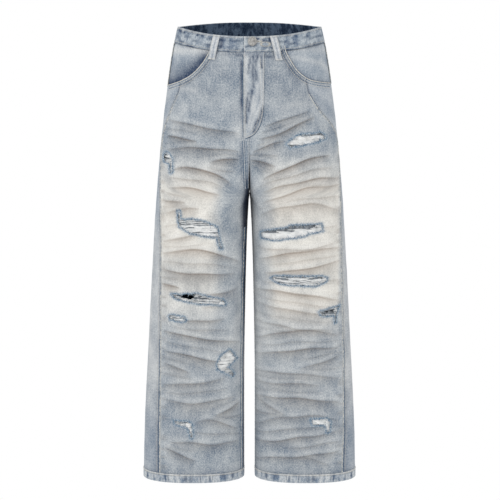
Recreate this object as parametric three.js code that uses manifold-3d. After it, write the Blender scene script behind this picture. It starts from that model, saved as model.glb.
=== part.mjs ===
// A pair of wide-legged ripped jeans, open and rounded as if worn by a general figure.
// Millimetres. +Z is up, +X is the wearer's left and the front faces -Y. The origin is the
// centre of the waist opening, level with the top of the waistband at the two sides.
// Every piece is a thin wall laid on one form: a torso that divides at the crotch into two legs.
// On each half of the form, `round` runs from -1 at the centre front (or the inseam) by way of 0
// at the side to +1 at the centre back (or the inseam), and `drop` is the length down the side.
// `hand` is -1 for the wearer's right half and 1 for the left.
import * as THREE from "three";
import { mergeVertices } from "three/addons/utils/BufferGeometryUtils.js";
import Module from "manifold-3d";

const wasm = await Module();
wasm.setup();

// ---------- driving dimensions ----------
const SIDE_LENGTH = 1020; // from the waistband's top edge to the hem, down the side
const BAND_HEIGHT = 34;
const HEM_HEIGHT = 20;
const CROTCH_DROP = 362;
const CLOTH = 1.5; // one layer of denim
const FOLDED = 3; // denim folded on itself, as in the waistband and the hems
const PROUD = 0.7; // how far folded denim stands out from the single layer
const GAP = 0.3; // between two pieces where they are sewn together

// Where the waistband's top edge lies below or above its height at the sides.
const FRONT_DIP = 24;
const BACK_RISE = 14;
const TILT_ENDS = 330; // below this drop the rows of cloth run level

// The form, as [drop, size] stations: half its width, its depth in front of and behind the
// middle, and half the space between the legs.
const SIDE = [
  [0, 157], [50, 168.5], [125, 180.5], [230, 194], [362, 207],
  [520, 218], [700, 229], [890, 240], [1020, 244],
];
const FRONT = [[0, 95], [110, 106], [220, 108], [330, 104], [440, 95], [600, 82], [780, 73], [1020, 67]];
const BACK = [[0, 92], [110, 112], [230, 124], [320, 118], [420, 102], [600, 86], [780, 76], [1020, 70]];
const INNER = [[362, 0.15], [390, 3.5], [520, 8], [620, 10.3], [760, 12.5], [1020, 12.7]];
const ROUNDNESS = 2.3; // 2 is an ellipse, and more is squarer
// The drops at which the torso begins to divide, in front and behind, and how far out from the
// centre and down from the crotch the two legs merge.
const FRONT_MERGE = 215;
const BACK_MERGE = 180;
const MERGE_WIDTH = 90;
const MERGE_LENGTH = 110;
const FAR = 400; // beyond the garment on every side

// The outseams, as [drop, round] stations: each comes forward at the hip and again down the leg.
const RIGHT_OUTSEAM = [
  [34, -0.41], [130, -0.39], [158, -0.345], [187, -0.275], [215, -0.2], [245, -0.145],
  [290, -0.135], [356, -0.172], [510, -0.222], [690, -0.257], [830, -0.277], [1020, -0.29],
];
const LEFT_OUTSEAM = [
  [34, -0.56], [128, -0.545], [158, -0.487], [185, -0.397], [208, -0.275], [235, -0.12],
  [262, -0.06], [292, -0.085], [357, -0.136], [512, -0.181], [693, -0.206], [1020, -0.265],
];

// Rows of cloth, closer together round the crotch curve, and columns across a panel.
const UPPER_ROWS = [34.3, 65, 95, 125, 155, 183, 210, 236, 261, 284, 305, 323, 338, 350, 358, 362];
const LEG_ROWS = 18;
const FRONT_COLUMNS = 8;
const BACK_COLUMNS = 9;
const SEAM_ROUND = 0.0006; // half a seam's gap, in `round`

// The deepest creases, each a trough from one [x, drop] to another.
const CREASE_DEPTH = 4;
const CREASE_HALF_WIDTH = 20;
const RIGHT_CREASES = [
  [[-178, 199], [-20, 223]],
  [[-183, 262], [-20, 266]],
  [[-174, 347], [-64, 361]],
  [[-191, 478], [-75, 474]],
  [[-196, 534], [-32, 539]],
  [[-165, 643], [-55, 639]],
  [[-193, 735], [-55, 755]],
  [[-196, 798], [-55, 790]],
  [[-191, 930], [-22, 930]],
];
const LEFT_CREASES = [
  [[33, 207], [131, 175]],
  [[27, 325], [176, 277]],
  [[28, 390], [204, 350]],
  [[14, 482], [188, 473]],
  [[34, 537], [201, 515]],
  [[12, 640], [190, 665]],
  [[12, 728], [203, 708]],
  [[13, 792], [158, 791]],
  [[13, 925], [204, 905]],
];
// On the back, the same on both halves, with x measured outwards.
const BACK_CREASES = [
  [[30, 345], [170, 300]],
  [[40, 480], [190, 505]],
  [[40, 600], [195, 575]],
  [[40, 720], [200, 745]],
  [[40, 880], [200, 865]],
];

// Each front pocket's mouth, as [x, z] points from the waistband round to the side.
const RIGHT_MOUTH = [[-80, -42], [-104, -83], [-146, -116], [-182, -128], [-240, -132]];
const LEFT_MOUTH = [[76, -46], [100, -92], [140, -117], [182, -123], [240, -125]];
const SIDE_SEAM_Y = -6; // where the pocket facing meets the back, above the mouth
const FACING_LAP = 10; // how far the facing runs on behind the mouth's edge

// The fly, as an [x, z] outline: a straight free edge, and a stitched edge that curves in below.
const FLY_EDGE = -11;
const FLY_STITCHED = [[31, -10], [30, -165], [25, -205], [12, -228], [-9, -239]];

const YOKE_AT_CENTRE = -100; // z of the yoke's seam at the centre back and at the sides
const YOKE_AT_SIDE = -76;
const YOKE_WIDTH = 170;
const BACK_POCKET = [[30, -122], [158, -114], [160, -246], [98, -268], [36, -252]];

// The worn-through places, as [x, z] outlines on the fronts. White weft threads lie across each.
const RIGHT_RIPS = {
  hip: [[-189, -279], [-184, -272], [-176, -274], [-169, -284], [-169, -315], [-175, -317], [-177, -296]],
  thigh: [
    [-156, -419], [-157, -398], [-151, -398], [-151, -418], [-97, -420], [-71, -433], [-66, -454],
    [-60, -482], [-66, -482], [-71, -455], [-97, -454], [-130, -446], [-154, -433],
  ],
  knee: [
    [-173, -584], [-117, -581], [-78, -592], [-59, -596],
    [-52, -607], [-58, -611], [-122, -604], [-166, -594],
  ],
  below_knee: [[-180, -634], [-171, -631], [-143, -635], [-141, -643], [-164, -645], [-176, -641]],
  shin: [[-43, -713], [-28, -736], [-49, -752], [-33, -771], [-37, -777], [-73, -755], [-66, -729]],
  ankle: [[-170, -874], [-137, -877], [-130, -882], [-126, -914], [-132, -916], [-138, -890], [-167, -883]],
};
const LEFT_RIPS = {
  hip: [[81, -252], [92, -240], [110, -231], [158, -228], [167, -241], [137, -250], [88, -259]],
  thigh: [
    [25, -447], [80, -435], [88, -429], [158, -427],
    [161, -442], [118, -454], [71, -463], [25, -460],
  ],
  knee: [[47, -548], [58, -543], [158, -543], [172, -548], [148, -565], [70, -561]],
  outer_knee: [[154, -624], [201, -613], [194, -632], [193, -650], [189, -650], [188, -634], [160, -633]],
  ankle: [[137, -870], [176, -871], [182, -879], [181, -901], [175, -903], [171, -885], [142, -884]],
};
const RIPS_END_Y = -10; // every rip is in front of this
const WEFT_THICKNESS = 1;
const WEFT_MARGIN = 6; // how far the threads run on behind a hole's edge

// Belt loops: the x of a loop's middle at its top and at its foot, and whether it is in front.
const LOOP_WIDTH = 15;
const LOOP_THICKNESS = 1.8;
const LOOPS = {
  front_right: [-69, -81, true],
  front_left: [50, 63, true],
  back_right: [-108, -114, false],
  back_left: [108, 114, false],
  back_centre: [0, 0, false],
};
// A loop's [drop, lift]: how far its inner face stands off the form all the way down.
const LOOP_PROFILE = [[0.5, 1.1], [4, 1.1], [9, 3.5], [20, 4], [33, 3.6], [40, 1.8], [44, 0.6], [54, 0.6]];

// The waistband's two ends: the left one laps over the right one, and the button holds them.
const OVERLAP_END = -11; // x
const UNDERLAP_END = 34; // x
const BAND_COLUMNS = 32; // all round
const HEM_COLUMNS = 26;
const BUTTON = { x: 6, drop: 11, radius: 10, thickness: 2.6, lift: 2.4, shankRadius: 3.5 };
const BUTTONHOLE = { radius: 4, length: 20, height: 2.6 };

const LEG_BLUE = "#aab4bd";
const SEAT_BLUE = "#98a8b8";
const BAND_BLUE = "#a3adb8";
const WEFT_WHITE = "#d9d9d3";

// ---------- the form ----------
const clamp01 = (value) => Math.min(Math.max(value, 0), 1);
const ease = (value) => clamp01(value) ** 2 * (3 - 2 * clamp01(value));

// A smooth curve through [drop, size] stations.
function along(stations, drop) {
  const last = stations.length - 1;
  if (drop <= stations[0][0]) return stations[0][1];
  if (drop >= stations[last][0]) return stations[last][1];
  const i = stations.findIndex((station) => station[0] > drop) - 1;
  const slope = (k) => {
    const [a, b] = [stations[Math.max(k - 1, 0)], stations[Math.min(k + 1, last)]];
    return (b[1] - a[1]) / (b[0] - a[0]);
  };
  const [[d0, v0], [d1, v1]] = [stations[i], stations[i + 1]];
  const span = d1 - d0;
  const t = (drop - d0) / span;
  return (
    v0 * (1 + 2 * t) * (1 - t) ** 2 +
    slope(i) * span * t * (1 - t) ** 2 +
    v1 * t * t * (3 - 2 * t) -
    slope(i + 1) * span * t * t * (1 - t)
  );
}

const squared = (value) => Math.sign(value) * Math.abs(value) ** (2 / ROUNDNESS);

// Half a section's depth at x, as a share of its full depth. A section runs from x = from to x = to.
function fullness(x, from, to) {
  const middle = (from + to) / 2;
  const off = Math.abs(x - middle) / (to - middle);
  return Math.max(1 - off ** ROUNDNESS, 0) ** (1 / ROUNDNESS);
}

// How far the section has changed from torso (0) to leg (1): late and quickly at the centre seam,
// which so runs down, round and under to the crotch point, and slowly further out.
function legShare(x, drop, start) {
  const out = clamp01(x / MERGE_WIDTH) ** 0.8;
  const t = clamp01((drop - start) / (CROTCH_DROP + MERGE_LENGTH * out - start));
  return 1 - (1 - t ** 3) ** (0.5 + out);
}

// How far a row of cloth lies above its height at the side, for depth -1 (front) to 1 (back).
function tilt(depth, drop) {
  const lean = (BACK_RISE + FRONT_DIP) / 2;
  const bow = (BACK_RISE - FRONT_DIP) / 2;
  return (lean * depth + bow * depth * depth) * (1 - ease(drop / TILT_ENDS));
}

// A point on the smooth form of the left half.
function smoothPoint(round, drop) {
  const side = along(SIDE, drop);
  const inner = along(INNER, drop);
  const depth = along(round < 0 ? FRONT : BACK, drop);
  const start = round < 0 ? FRONT_MERGE : BACK_MERGE;
  const torsoX = side * squared(Math.cos((round * Math.PI) / 2));
  const legX = (side + inner) / 2 + ((side - inner) / 2) * squared(Math.cos(round * Math.PI));
  const merged = ease((drop - start) / (CROTCH_DROP + MERGE_LENGTH - start));
  const x = THREE.MathUtils.lerp(torsoX, legX, merged);
  const share = legShare(x, drop, start);
  const full = (1 - share) * fullness(x, -side, side) + share * fullness(x, inner, side);
  const lean = Math.sign(round) * full;
  return new THREE.Vector3(x, depth * lean, tilt(lean, drop) - drop);
}

// The outward normal of a surface given as a function of round and drop.
function normalOf(surface, round, drop) {
  const across = surface(Math.min(round + 0.01, 1), drop).sub(surface(Math.max(round - 0.01, -1), drop));
  const down = surface(round, drop + 3).sub(surface(round, drop - 3));
  const normal = down.cross(across);
  // Front and back share one normal along the inseam, square to the plane between them.
  if (Math.abs(round) >= 1 - SEAM_ROUND && drop >= CROTCH_DROP) normal.y = 0;
  return normal.normalize();
}

// The depth of the troughs at a place on the cloth.
function creaseDepth(hand, round, drop, x) {
  const fronts = hand < 0 ? RIGHT_CREASES : LEFT_CREASES;
  const place = round < 0 ? hand * x : x;
  let depth = 0;
  for (const [[x0, drop0], [x1, drop1]] of round < 0 ? fronts : BACK_CREASES) {
    const t = (place - x0) / (x1 - x0);
    const ends = ease((t + 0.12) / 0.24) * ease((1.12 - t) / 0.24);
    const off = (drop - drop0 - (drop1 - drop0) * t) / CREASE_HALF_WIDTH;
    depth += CREASE_DEPTH * ends * Math.exp(-off * off);
  }
  const clearOfSeams = ease((1 - Math.abs(round)) / 0.12) * ease(Math.abs(round) / 0.1);
  return depth * clearOfSeams;
}

// A place on the creased cloth, as {point, normal}, on the wearer's right when hand is -1.
function clothAt(hand, round, drop, lift = 0) {
  const surface = (r, d) => {
    const point = smoothPoint(r, d);
    const depth = creaseDepth(hand, r, d, point.x);
    return depth > 0.01 ? point.addScaledVector(normalOf(smoothPoint, r, d), -depth) : point;
  };
  const normal = normalOf(surface, round, drop);
  const point = surface(round, drop);
  point.x = Math.max(point.x, GAP / 2);
  point.addScaledVector(normal, lift);
  for (const v of [point, normal]) v.x *= hand;
  return { point, normal };
}

// The `round` at which the form has a given x, at the front or the back, above the crotch.
function roundAtX(x, drop, isFront) {
  let [near, far] = isFront ? [-1, 0] : [1, 0];
  for (let step = 0; step < 30; step++) {
    const middle = (near + far) / 2;
    if (smoothPoint(middle, drop).x < Math.abs(x)) near = middle;
    else far = middle;
  }
  return (near + far) / 2;
}

// ---------- walls of cloth ----------
// A three.js geometry as a manifold-3d solid, turned right side out.
function solid(geometry) {
  const bare = geometry.index ? geometry.toNonIndexed() : geometry;
  const position = new THREE.BufferGeometry().setAttribute("position", bare.getAttribute("position"));
  const merged = mergeVertices(position, 1e-4);
  const vertProperties = merged.attributes.position.array;
  const make = (triVerts) => new wasm.Manifold(new wasm.Mesh({ numProp: 3, vertProperties, triVerts }));
  const triVerts = new Uint32Array(merged.index.array);
  const made = make(triVerts);
  return made.volume() > 0 ? made : make(triVerts.reverse());
}

// A closed wall between two offsets of a grid. A ring's last column joins its first.
function wall(grid, outer, inner, isRing = false) {
  const rows = grid.length;
  const columns = grid[0].length;
  const places = grid.flat();
  const layer = (offset) => places.map(({ point, normal }) => point.clone().addScaledVector(normal, offset));
  const points = [...layer(outer), ...layer(inner)];
  const at = (r, c, side) => (side * rows + r) * columns + (c % columns);
  const triangles = [];
  const quad = (a, b, c, d) => triangles.push(a, b, c, a, c, d);
  const length = (a, b) => points[a].distanceTo(points[b]);
  for (let c = 0; c < (isRing ? columns : columns - 1); c++) {
    for (let r = 0; r < rows - 1; r++) {
      // Each patch of cloth is split along its shorter diagonal, alike on both faces.
      const [a, b, d, e] = [at(r, c, 0), at(r + 1, c, 0), at(r + 1, c + 1, 0), at(r, c + 1, 0)];
      const [p, q, s, t] = length(a, d) < length(b, e) ? [a, b, d, e] : [b, d, e, a];
      quad(p, q, s, t);
      quad(...[p, t, s, q].map((i) => i + rows * columns));
    }
    quad(at(0, c, 0), at(0, c + 1, 0), at(0, c + 1, 1), at(0, c, 1));
    quad(at(rows - 1, c, 0), at(rows - 1, c, 1), at(rows - 1, c + 1, 1), at(rows - 1, c + 1, 0));
  }
  for (let r = 0; r < rows - 1 && !isRing; r++) {
    const last = columns - 1;
    quad(at(r, 0, 0), at(r, 0, 1), at(r + 1, 0, 1), at(r + 1, 0, 0));
    quad(at(r, last, 0), at(r + 1, last, 0), at(r + 1, last, 1), at(r, last, 1));
  }
  const geometry = new THREE.BufferGeometry().setFromPoints(points);
  return solid(geometry.setIndex(triangles));
}

// A cutter: an outline of [x, z] points, pushed through the garment from one y to another.
function cutter(outline, yFrom, yTo) {
  const shape = new THREE.Shape(outline.map(([x, z]) => new THREE.Vector2(x, z)));
  const geometry = new THREE.ExtrudeGeometry(shape, { depth: yTo - yFrom, bevelEnabled: false });
  return solid(geometry.rotateX(Math.PI / 2).translate(0, yTo, 0));
}

function rounded(points, divisions) {
  const curve = new THREE.SplineCurve(points.map(([x, z]) => new THREE.Vector2(x, z)));
  return curve.getPoints(divisions).map(({ x, y }) => [x, y]);
}

// The rectangle round an outline, a margin larger on every side.
function rectangleRound(outline, margin) {
  const { min, max } = new THREE.Box2().setFromPoints(outline.map(([x, z]) => new THREE.Vector2(x, z)));
  const [left, right, bottom, top] = [min.x - margin, max.x + margin, min.y - margin, max.y + margin];
  return [[left, bottom], [right, bottom], [right, top], [left, top]];
}

const jeans = new THREE.Group();

// The largest body of a solid becomes a named mesh.
function add(name, made, material) {
  const body = made.decompose().sort((a, b) => b.volume() - a.volume())[0];
  const { vertProperties, triVerts } = body.getMesh();
  const geometry = new THREE.BufferGeometry();
  geometry.setAttribute("position", new THREE.BufferAttribute(vertProperties, 3));
  const mesh = new THREE.Mesh(geometry.setIndex(Array.from(triVerts)), material);
  mesh.name = name;
  jeans.add(mesh);
}

function addCloth(name, made, color) {
  add(name, made, new THREE.MeshStandardMaterial({ color, roughness: 0.92, metalness: 0 }));
}

// ---------- the two halves: fronts and backs ----------
const { lerp } = THREE.MathUtils;
const HEM_TOP = SIDE_LENGTH - HEM_HEIGHT;
const legRow = (_, i) => lerp(CROTCH_DROP, HEM_TOP - GAP, (i + 1) / LEG_ROWS);
const panelDrops = [...UPPER_ROWS, ...Array.from({ length: LEG_ROWS }, legRow)];
const BELOW = -CLOTH - GAP; // the offset of what lies behind a panel

function clothGrid(hand, columns, roundFrom, roundTo) {
  const row = (drop) =>
    Array.from({ length: columns + 1 }, (_, c) =>
      clothAt(hand, lerp(roundFrom(drop), roundTo(drop), c / columns), drop),
    );
  return panelDrops.map(row);
}

function half(hand, side, outseam, mouth, rips) {
  const before = (drop) => along(outseam, drop) - SEAM_ROUND;
  const behind = (drop) => along(outseam, drop) + SEAM_ROUND;
  const front = clothGrid(hand, FRONT_COLUMNS, () => SEAM_ROUND - 1, before);
  const back = clothGrid(hand, BACK_COLUMNS, behind, () => 1 - SEAM_ROUND);
  return { hand, side, mouth, rips, front, back };
}

const rightHalf = half(-1, "right", RIGHT_OUTSEAM, RIGHT_MOUTH, RIGHT_RIPS);
const leftHalf = half(1, "left", LEFT_OUTSEAM, LEFT_MOUTH, LEFT_RIPS);
const sideBySide = (a, b) => a.map((row, r) => [...row, ...b[r]]);
const turned = (grid) => grid.map((row) => [...row].reverse());

// What lies outwards of and above a pocket mouth's edge, moved down and inwards by `lap`.
function scoop({ hand, mouth }, lap) {
  const edge = rounded(mouth, 14).map(([x, z]) => [x - hand * lap, z - lap]);
  return cutter([...edge, [hand * FAR, FAR], [edge[0][0], FAR]], -FAR, SIDE_SEAM_Y + lap);
}

function addFront({ hand, side, mouth, rips, front }) {
  let panel = wall(front, 0, -CLOTH).subtract(scoop({ hand, mouth }, 0));
  const wefts = wall(front, BELOW, BELOW - WEFT_THICKNESS);
  for (const [place, outline] of Object.entries(rips)) {
    const patch = cutter(rectangleRound(outline, WEFT_MARGIN), -FAR, RIPS_END_Y);
    addCloth(`weft_${place}_${side}`, wefts.intersect(patch), WEFT_WHITE);
    panel = panel.subtract(cutter(outline, -FAR, RIPS_END_Y));
  }
  addCloth("front_" + side, panel, LEG_BLUE);
}

// The facing fills the scooped pocket mouth from behind, and joins the back at the side.
function addFacing({ hand, side, mouth, front, back }) {
  const behind = wall(sideBySide(front, back), BELOW, BELOW - CLOTH);
  addCloth("pocket_facing_" + side, behind.intersect(scoop({ hand, mouth }, FACING_LAP)), SEAT_BLUE);
}

function addBack({ hand, side, mouth, back }) {
  const aboveYokeSeam = (down) => {
    const [centre, corner] = [[-hand, YOKE_AT_CENTRE - down], [hand * YOKE_WIDTH, YOKE_AT_SIDE - down]];
    return cutter([centre, corner, [hand * FAR, corner[1]], [hand * FAR, FAR], [-hand, FAR]], -FAR, FAR);
  };
  const panel = wall(back, 0, -CLOTH).subtract(scoop({ hand, mouth }, 0));
  addCloth("yoke_" + side, panel.intersect(aboveYokeSeam(0)), SEAT_BLUE);
  addCloth("back_" + side, panel.subtract(aboveYokeSeam(GAP)), SEAT_BLUE);
  const pocket = cutter(BACK_POCKET.map(([x, z]) => [hand * x, z]), 0, FAR);
  addCloth("back_pocket_" + side, wall(back, GAP + CLOTH, GAP).intersect(pocket), SEAT_BLUE);
}

function addHem({ hand, side }) {
  const ring = [HEM_TOP, SIDE_LENGTH].map((drop) =>
    Array.from({ length: HEM_COLUMNS }, (_, c) => clothAt(hand, lerp(-1, 1, c / HEM_COLUMNS), drop)),
  );
  addCloth("hem_" + side, wall(ring, PROUD, PROUD - FOLDED, true), LEG_BLUE);
}

for (const each of [rightHalf, leftHalf]) {
  addFront(each);
  addFacing(each);
  addBack(each);
  addHem(each);
}

// The fly lies on both fronts, across the centre seam.
const bothFronts = sideBySide(turned(rightHalf.front), leftHalf.front);
const flyOutline = [[FLY_EDGE, 0], ...rounded(FLY_STITCHED, 12)];
const fly = wall(bothFronts, GAP + CLOTH, GAP).intersect(cutter(flyOutline, -FAR, 0));
addCloth("fly", fly, LEG_BLUE);

// ---------- waistband ----------
// Round the waist, `turn` is 0 at the centre front, 1 at the left side, 2 at the centre back,
// 3 at the right side and 4 at the centre front again.
function waistAt(turn, drop, lift) {
  const t = (turn + 4) % 4;
  return t < 2 ? clothAt(1, t - 1, drop, lift) : clothAt(-1, 3 - t, drop, lift);
}

const turnAtX = (x) => Math.sign(x) * (1 + roundAtX(x, 0, true));
const overlapTurn = turnAtX(OVERLAP_END);
const buttonTurn = turnAtX(BUTTON.x);
const underlapTurn = 4 + turnAtX(UNDERLAP_END);
const evenTurns = Array.from({ length: BAND_COLUMNS }, (_, c) => (c * 4) / BAND_COLUMNS);
const bandTurns = [overlapTurn, 0, buttonTurn, ...evenTurns.slice(1)];
bandTurns.push(4 + 2 * overlapTurn, 4, 4 + buttonTurn, underlapTurn);

// The underlap steps in behind the overlap.
const stepStart = underlapTurn - 0.2;
const stepEnd = 4 + 1.4 * overlapTurn;
const stepIn = (turn) => (FOLDED + GAP) * ease((turn - stepStart) / (stepEnd - stepStart));
const bandGrid = [0, BAND_HEIGHT].map((drop) => bandTurns.map((turn) => waistAt(turn, drop, -stepIn(turn))));

const buttonPlace = waistAt(buttonTurn, BUTTON.drop, PROUD);
const { x: buttonX, y: buttonY, z: buttonZ } = buttonPlace.point;

// A keyhole through the overlap only: a round eyelet under the button and a slit to its left.
function buttonhole() {
  const circle = new THREE.EllipseCurve(buttonX, buttonZ, BUTTONHOLE.radius, BUTTONHOLE.radius);
  const eyelet = circle.getPoints(16).slice(1).map(({ x, y }) => [x, y]);
  const half = BUTTONHOLE.height / 2;
  const end = buttonX + BUTTONHOLE.length;
  const [low, high] = [buttonZ - half, buttonZ + half];
  const slit = [[buttonX, low], [end, low], [end, high], [buttonX, high]];
  const overlapGrid = bandGrid.map((row) => row.slice(0, 8));
  const overlap = wall(overlapGrid, PROUD + 1, PROUD - FOLDED - GAP / 2);
  return overlap.intersect(cutter(eyelet, -FAR, 0).add(cutter(slit, -FAR, 0)));
}
addCloth("waistband", wall(bandGrid, PROUD, PROUD - FOLDED).subtract(buttonhole()), BAND_BLUE);

// ---------- belt loops ----------
function loopGrid(topX, footX, isFront) {
  const [footDrop] = LOOP_PROFILE.at(-1);
  return LOOP_PROFILE.map(([drop, lift]) => {
    const middle = lerp(topX, footX, drop / footDrop);
    const edges = [middle - LOOP_WIDTH / 2, middle + LOOP_WIDTH / 2];
    return edges.map((x) => clothAt(Math.sign(x), roundAtX(x, drop, isFront), drop, lift));
  });
}
for (const [place, [topX, footX, isFront]] of Object.entries(LOOPS)) {
  addCloth("belt_loop_" + place, wall(loopGrid(topX, footX, isFront), LOOP_THICKNESS, 0), BAND_BLUE);
}

// ---------- button ----------
// A domed cap on a post, which stands on the underlap in the buttonhole.
const { radius, thickness, lift, shankRadius } = BUTTON;
const rim = 0.8;
const buttonProfile = [
  [0, -FOLDED],
  [shankRadius, -FOLDED],
  [shankRadius, lift],
  [radius - rim, lift],
  [radius, lift + rim],
  [radius - rim, lift + thickness - rim / 2],
  [radius * 0.6, lift + thickness],
  [0, lift + thickness],
];
const button = new THREE.LatheGeometry(buttonProfile.map(([r, h]) => new THREE.Vector2(r, h)), 18);
const upwards = new THREE.Vector3(0, 1, 0);
button.applyQuaternion(new THREE.Quaternion().setFromUnitVectors(upwards, buttonPlace.normal));
button.translate(buttonX, buttonY, buttonZ);
const satinMetal = new THREE.MeshStandardMaterial({ color: "#9c9a95", roughness: 0.4, metalness: 0.9 });
add("button", solid(button), satinMetal);

export default jeans;
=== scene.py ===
import math

import bmesh
import bpy
import numpy as np
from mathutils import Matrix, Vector


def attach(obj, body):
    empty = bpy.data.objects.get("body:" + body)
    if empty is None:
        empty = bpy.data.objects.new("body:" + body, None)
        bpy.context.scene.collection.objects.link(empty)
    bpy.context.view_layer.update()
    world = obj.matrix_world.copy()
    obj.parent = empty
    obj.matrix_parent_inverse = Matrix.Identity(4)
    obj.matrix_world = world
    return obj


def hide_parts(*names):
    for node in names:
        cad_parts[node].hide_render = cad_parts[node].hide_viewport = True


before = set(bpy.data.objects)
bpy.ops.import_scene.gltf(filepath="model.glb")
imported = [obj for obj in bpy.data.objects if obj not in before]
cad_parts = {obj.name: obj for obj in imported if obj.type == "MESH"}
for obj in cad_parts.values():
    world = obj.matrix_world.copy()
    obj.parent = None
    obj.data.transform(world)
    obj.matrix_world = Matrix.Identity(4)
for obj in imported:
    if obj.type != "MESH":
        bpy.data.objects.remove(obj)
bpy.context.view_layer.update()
scene = bpy.context.scene

# ---------- studio ----------
# A small daylight studio: the jeans hang filled out over a pale floor, with a white surround,
# one big soft window high on the left, and a long lens level with the waistband's lower seam.
FLOOR_Z, FLOOR_SIZE = -1.75, 3.7
CAMERA_AT = (0.0, -2.968, -0.0586)
AIM = (0.0, 0.0, -0.4968)
LENS, LENS_SHIFT = 95.8, 0.001
SURROUND_LIGHT = 0.82
LAMP_SIZE = 2.4
LAMPS = {  # place, and power in watts
    "window": ((-2.0, -2.4, 1.5), 27.0),
    "fill": ((2.2, -2.2, 0.2), 6.75),
    "rear": ((0.6, 2.8, 1.2), 14.85),
}


def srgb(red, green, blue):
    """A colour given from 0 to 255, as a shader takes it."""
    share = [c / 255 for c in (red, green, blue)]
    return [c / 12.92 if c <= 0.04045 else ((c + 0.055) / 1.055) ** 2.4 for c in share] + [1.0]


def put(tree, kind, inputs=None, out=0, **settings):
    """Adds a node, sets or links its inputs, and returns one of its outputs."""
    made = tree.nodes.new("ShaderNode" + kind)
    for name, value in settings.items():
        setattr(made, name, value)
    for name, value in (inputs or {}).items():
        if isinstance(value, bpy.types.NodeSocket):
            tree.links.new(value, made.inputs[name])
        else:
            made.inputs[name].default_value = value
    return made.outputs[out] if made.outputs else made


def mixed(tree, share, a, b, how="MIX"):
    return put(tree, "Mix", {0: share, 6: a, 7: b}, 2, data_type="RGBA", blend_type=how)


def new_material(name):
    made = bpy.data.materials.new(name)
    made.use_nodes = True
    made.node_tree.nodes.clear()
    return made


def coat(material, inputs):
    """Gives a material its surface."""
    surface = put(material.node_tree, "BsdfPrincipled", inputs)
    put(material.node_tree, "OutputMaterial", {"Surface": surface})
    return material


def new_piece(name, bm):
    """A finished mesh, as an object at the origin."""
    mesh = bpy.data.meshes.new(name)
    bm.to_mesh(mesh)
    bm.free()
    piece = bpy.data.objects.new(name, mesh)
    scene.collection.objects.link(piece)
    return piece


def point_at(thing, place, aim):
    thing.location = place
    thing.rotation_euler = (Vector(aim) - Vector(place)).to_track_quat("-Z", "Y").to_euler()
    scene.collection.objects.link(thing)


camera = bpy.data.objects.new("camera", bpy.data.cameras.new("camera"))
camera.data.lens = LENS
camera.data.shift_x = LENS_SHIFT
point_at(camera, CAMERA_AT, AIM)
scene.camera = camera
scene.view_settings.view_transform = "Standard"

surround = bpy.data.worlds.new("surround")
surround.use_nodes = True
scene.world = surround
tree = surround.node_tree
tree.nodes.clear()
seen = put(tree, "LightPath")
strength = put(tree, "MapRange", {"Value": seen, "To Min": SURROUND_LIGHT, "To Max": 1.0})
air = put(tree, "Background", {"Color": (1.0, 1.0, 1.0, 1.0), "Strength": strength})
put(tree, "OutputWorld", {"Surface": air})

for name, (place, power) in LAMPS.items():
    lamp = bpy.data.objects.new(name, bpy.data.lights.new(name, "AREA"))
    lamp.data.shape = "DISK"
    lamp.data.size = LAMP_SIZE
    lamp.data.energy = power
    point_at(lamp, place, AIM)

bm = bmesh.new()
bmesh.ops.create_grid(bm, x_segments=4, y_segments=4, size=FLOOR_SIZE / 2)
bmesh.ops.translate(bm, verts=bm.verts, vec=(0, 0, FLOOR_Z))
floor = new_piece("floor", bm)
paint = new_material("pale_floor")
tree = paint.node_tree
grain = put(tree, "TexNoise", {"Scale": 9.0, "Detail": 3.0})
white = mixed(tree, grain, srgb(232, 232, 231), srgb(240, 240, 240))
floor.data.materials.append(coat(paint, {"Base Color": white, "Roughness": 0.8}))

# ---------- fronts ----------
# The two front panels, from the waistband's seam to the hems: stone-washed cotton twill, faded to
# cream over the thighs and knees and set in long curved creases, torn through in eleven places
# and scooped out at the top for the pocket mouths. One layer, sewn to the backs at each side.
MM = 0.001
CLOTH = 1.3  # the cloth's thickness in mm, as all sizes are
GAP = 0.3  # between the yoke and the back, and under the band's overlap
SEAM_TURN = 0.0006  # half a seam's gap, as a turn
SIDE_LENGTH = 1020
CROTCH_DROP = 362
PANEL_DROPS = (34.3, 999.7)
# The form at stations down the side, as (drop, mm): half its width, its depth in front and
# behind, and how far the legs' inner edges are from the middle.
SIDE = [
    (0, 157), (50, 168.5), (125, 180.5), (230, 194), (362, 207),
    (520, 218), (700, 229), (890, 240), (1020, 244),
]
FRONT = [(0, 95), (110, 106), (220, 108), (330, 104), (440, 95), (600, 82), (780, 73), (1020, 67)]
BACK = [(0, 92), (110, 112), (230, 124), (320, 118), (420, 102), (600, 86), (780, 76), (1020, 70)]
INNER = [(362, 0.15), (390, 3.5), (520, 8), (620, 10.3), (760, 12.5), (1020, 12.7)]
ROUNDNESS = 2.3
# The drop where the torso begins to divide into legs, in front and behind, and how far below the
# crotch that is complete.
DIVIDES = (215.0, 180.0)
DIVIDING = 110
# The rim dips at the centre front and rises behind, which dies out down the side.
RIM_DIP, RIM_RISE = 22.2, 11.2
RIM_FULLNESS = 2.4
TILT_ENDS = 330
# The outseams, as (drop, turn).
OUTSEAM = {
    -1: [
        (34, -0.41), (130, -0.39), (158, -0.345), (187, -0.275), (215, -0.2), (245, -0.145),
        (290, -0.135), (356, -0.172), (510, -0.222), (690, -0.257), (830, -0.277), (1020, -0.29),
    ],
    1: [
        (34, -0.56), (128, -0.545), (158, -0.487), (185, -0.397), (208, -0.275), (235, -0.12),
        (262, -0.06), (292, -0.085), (357, -0.136), (512, -0.181), (693, -0.206), (1020, -0.265),
    ],
}
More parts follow.
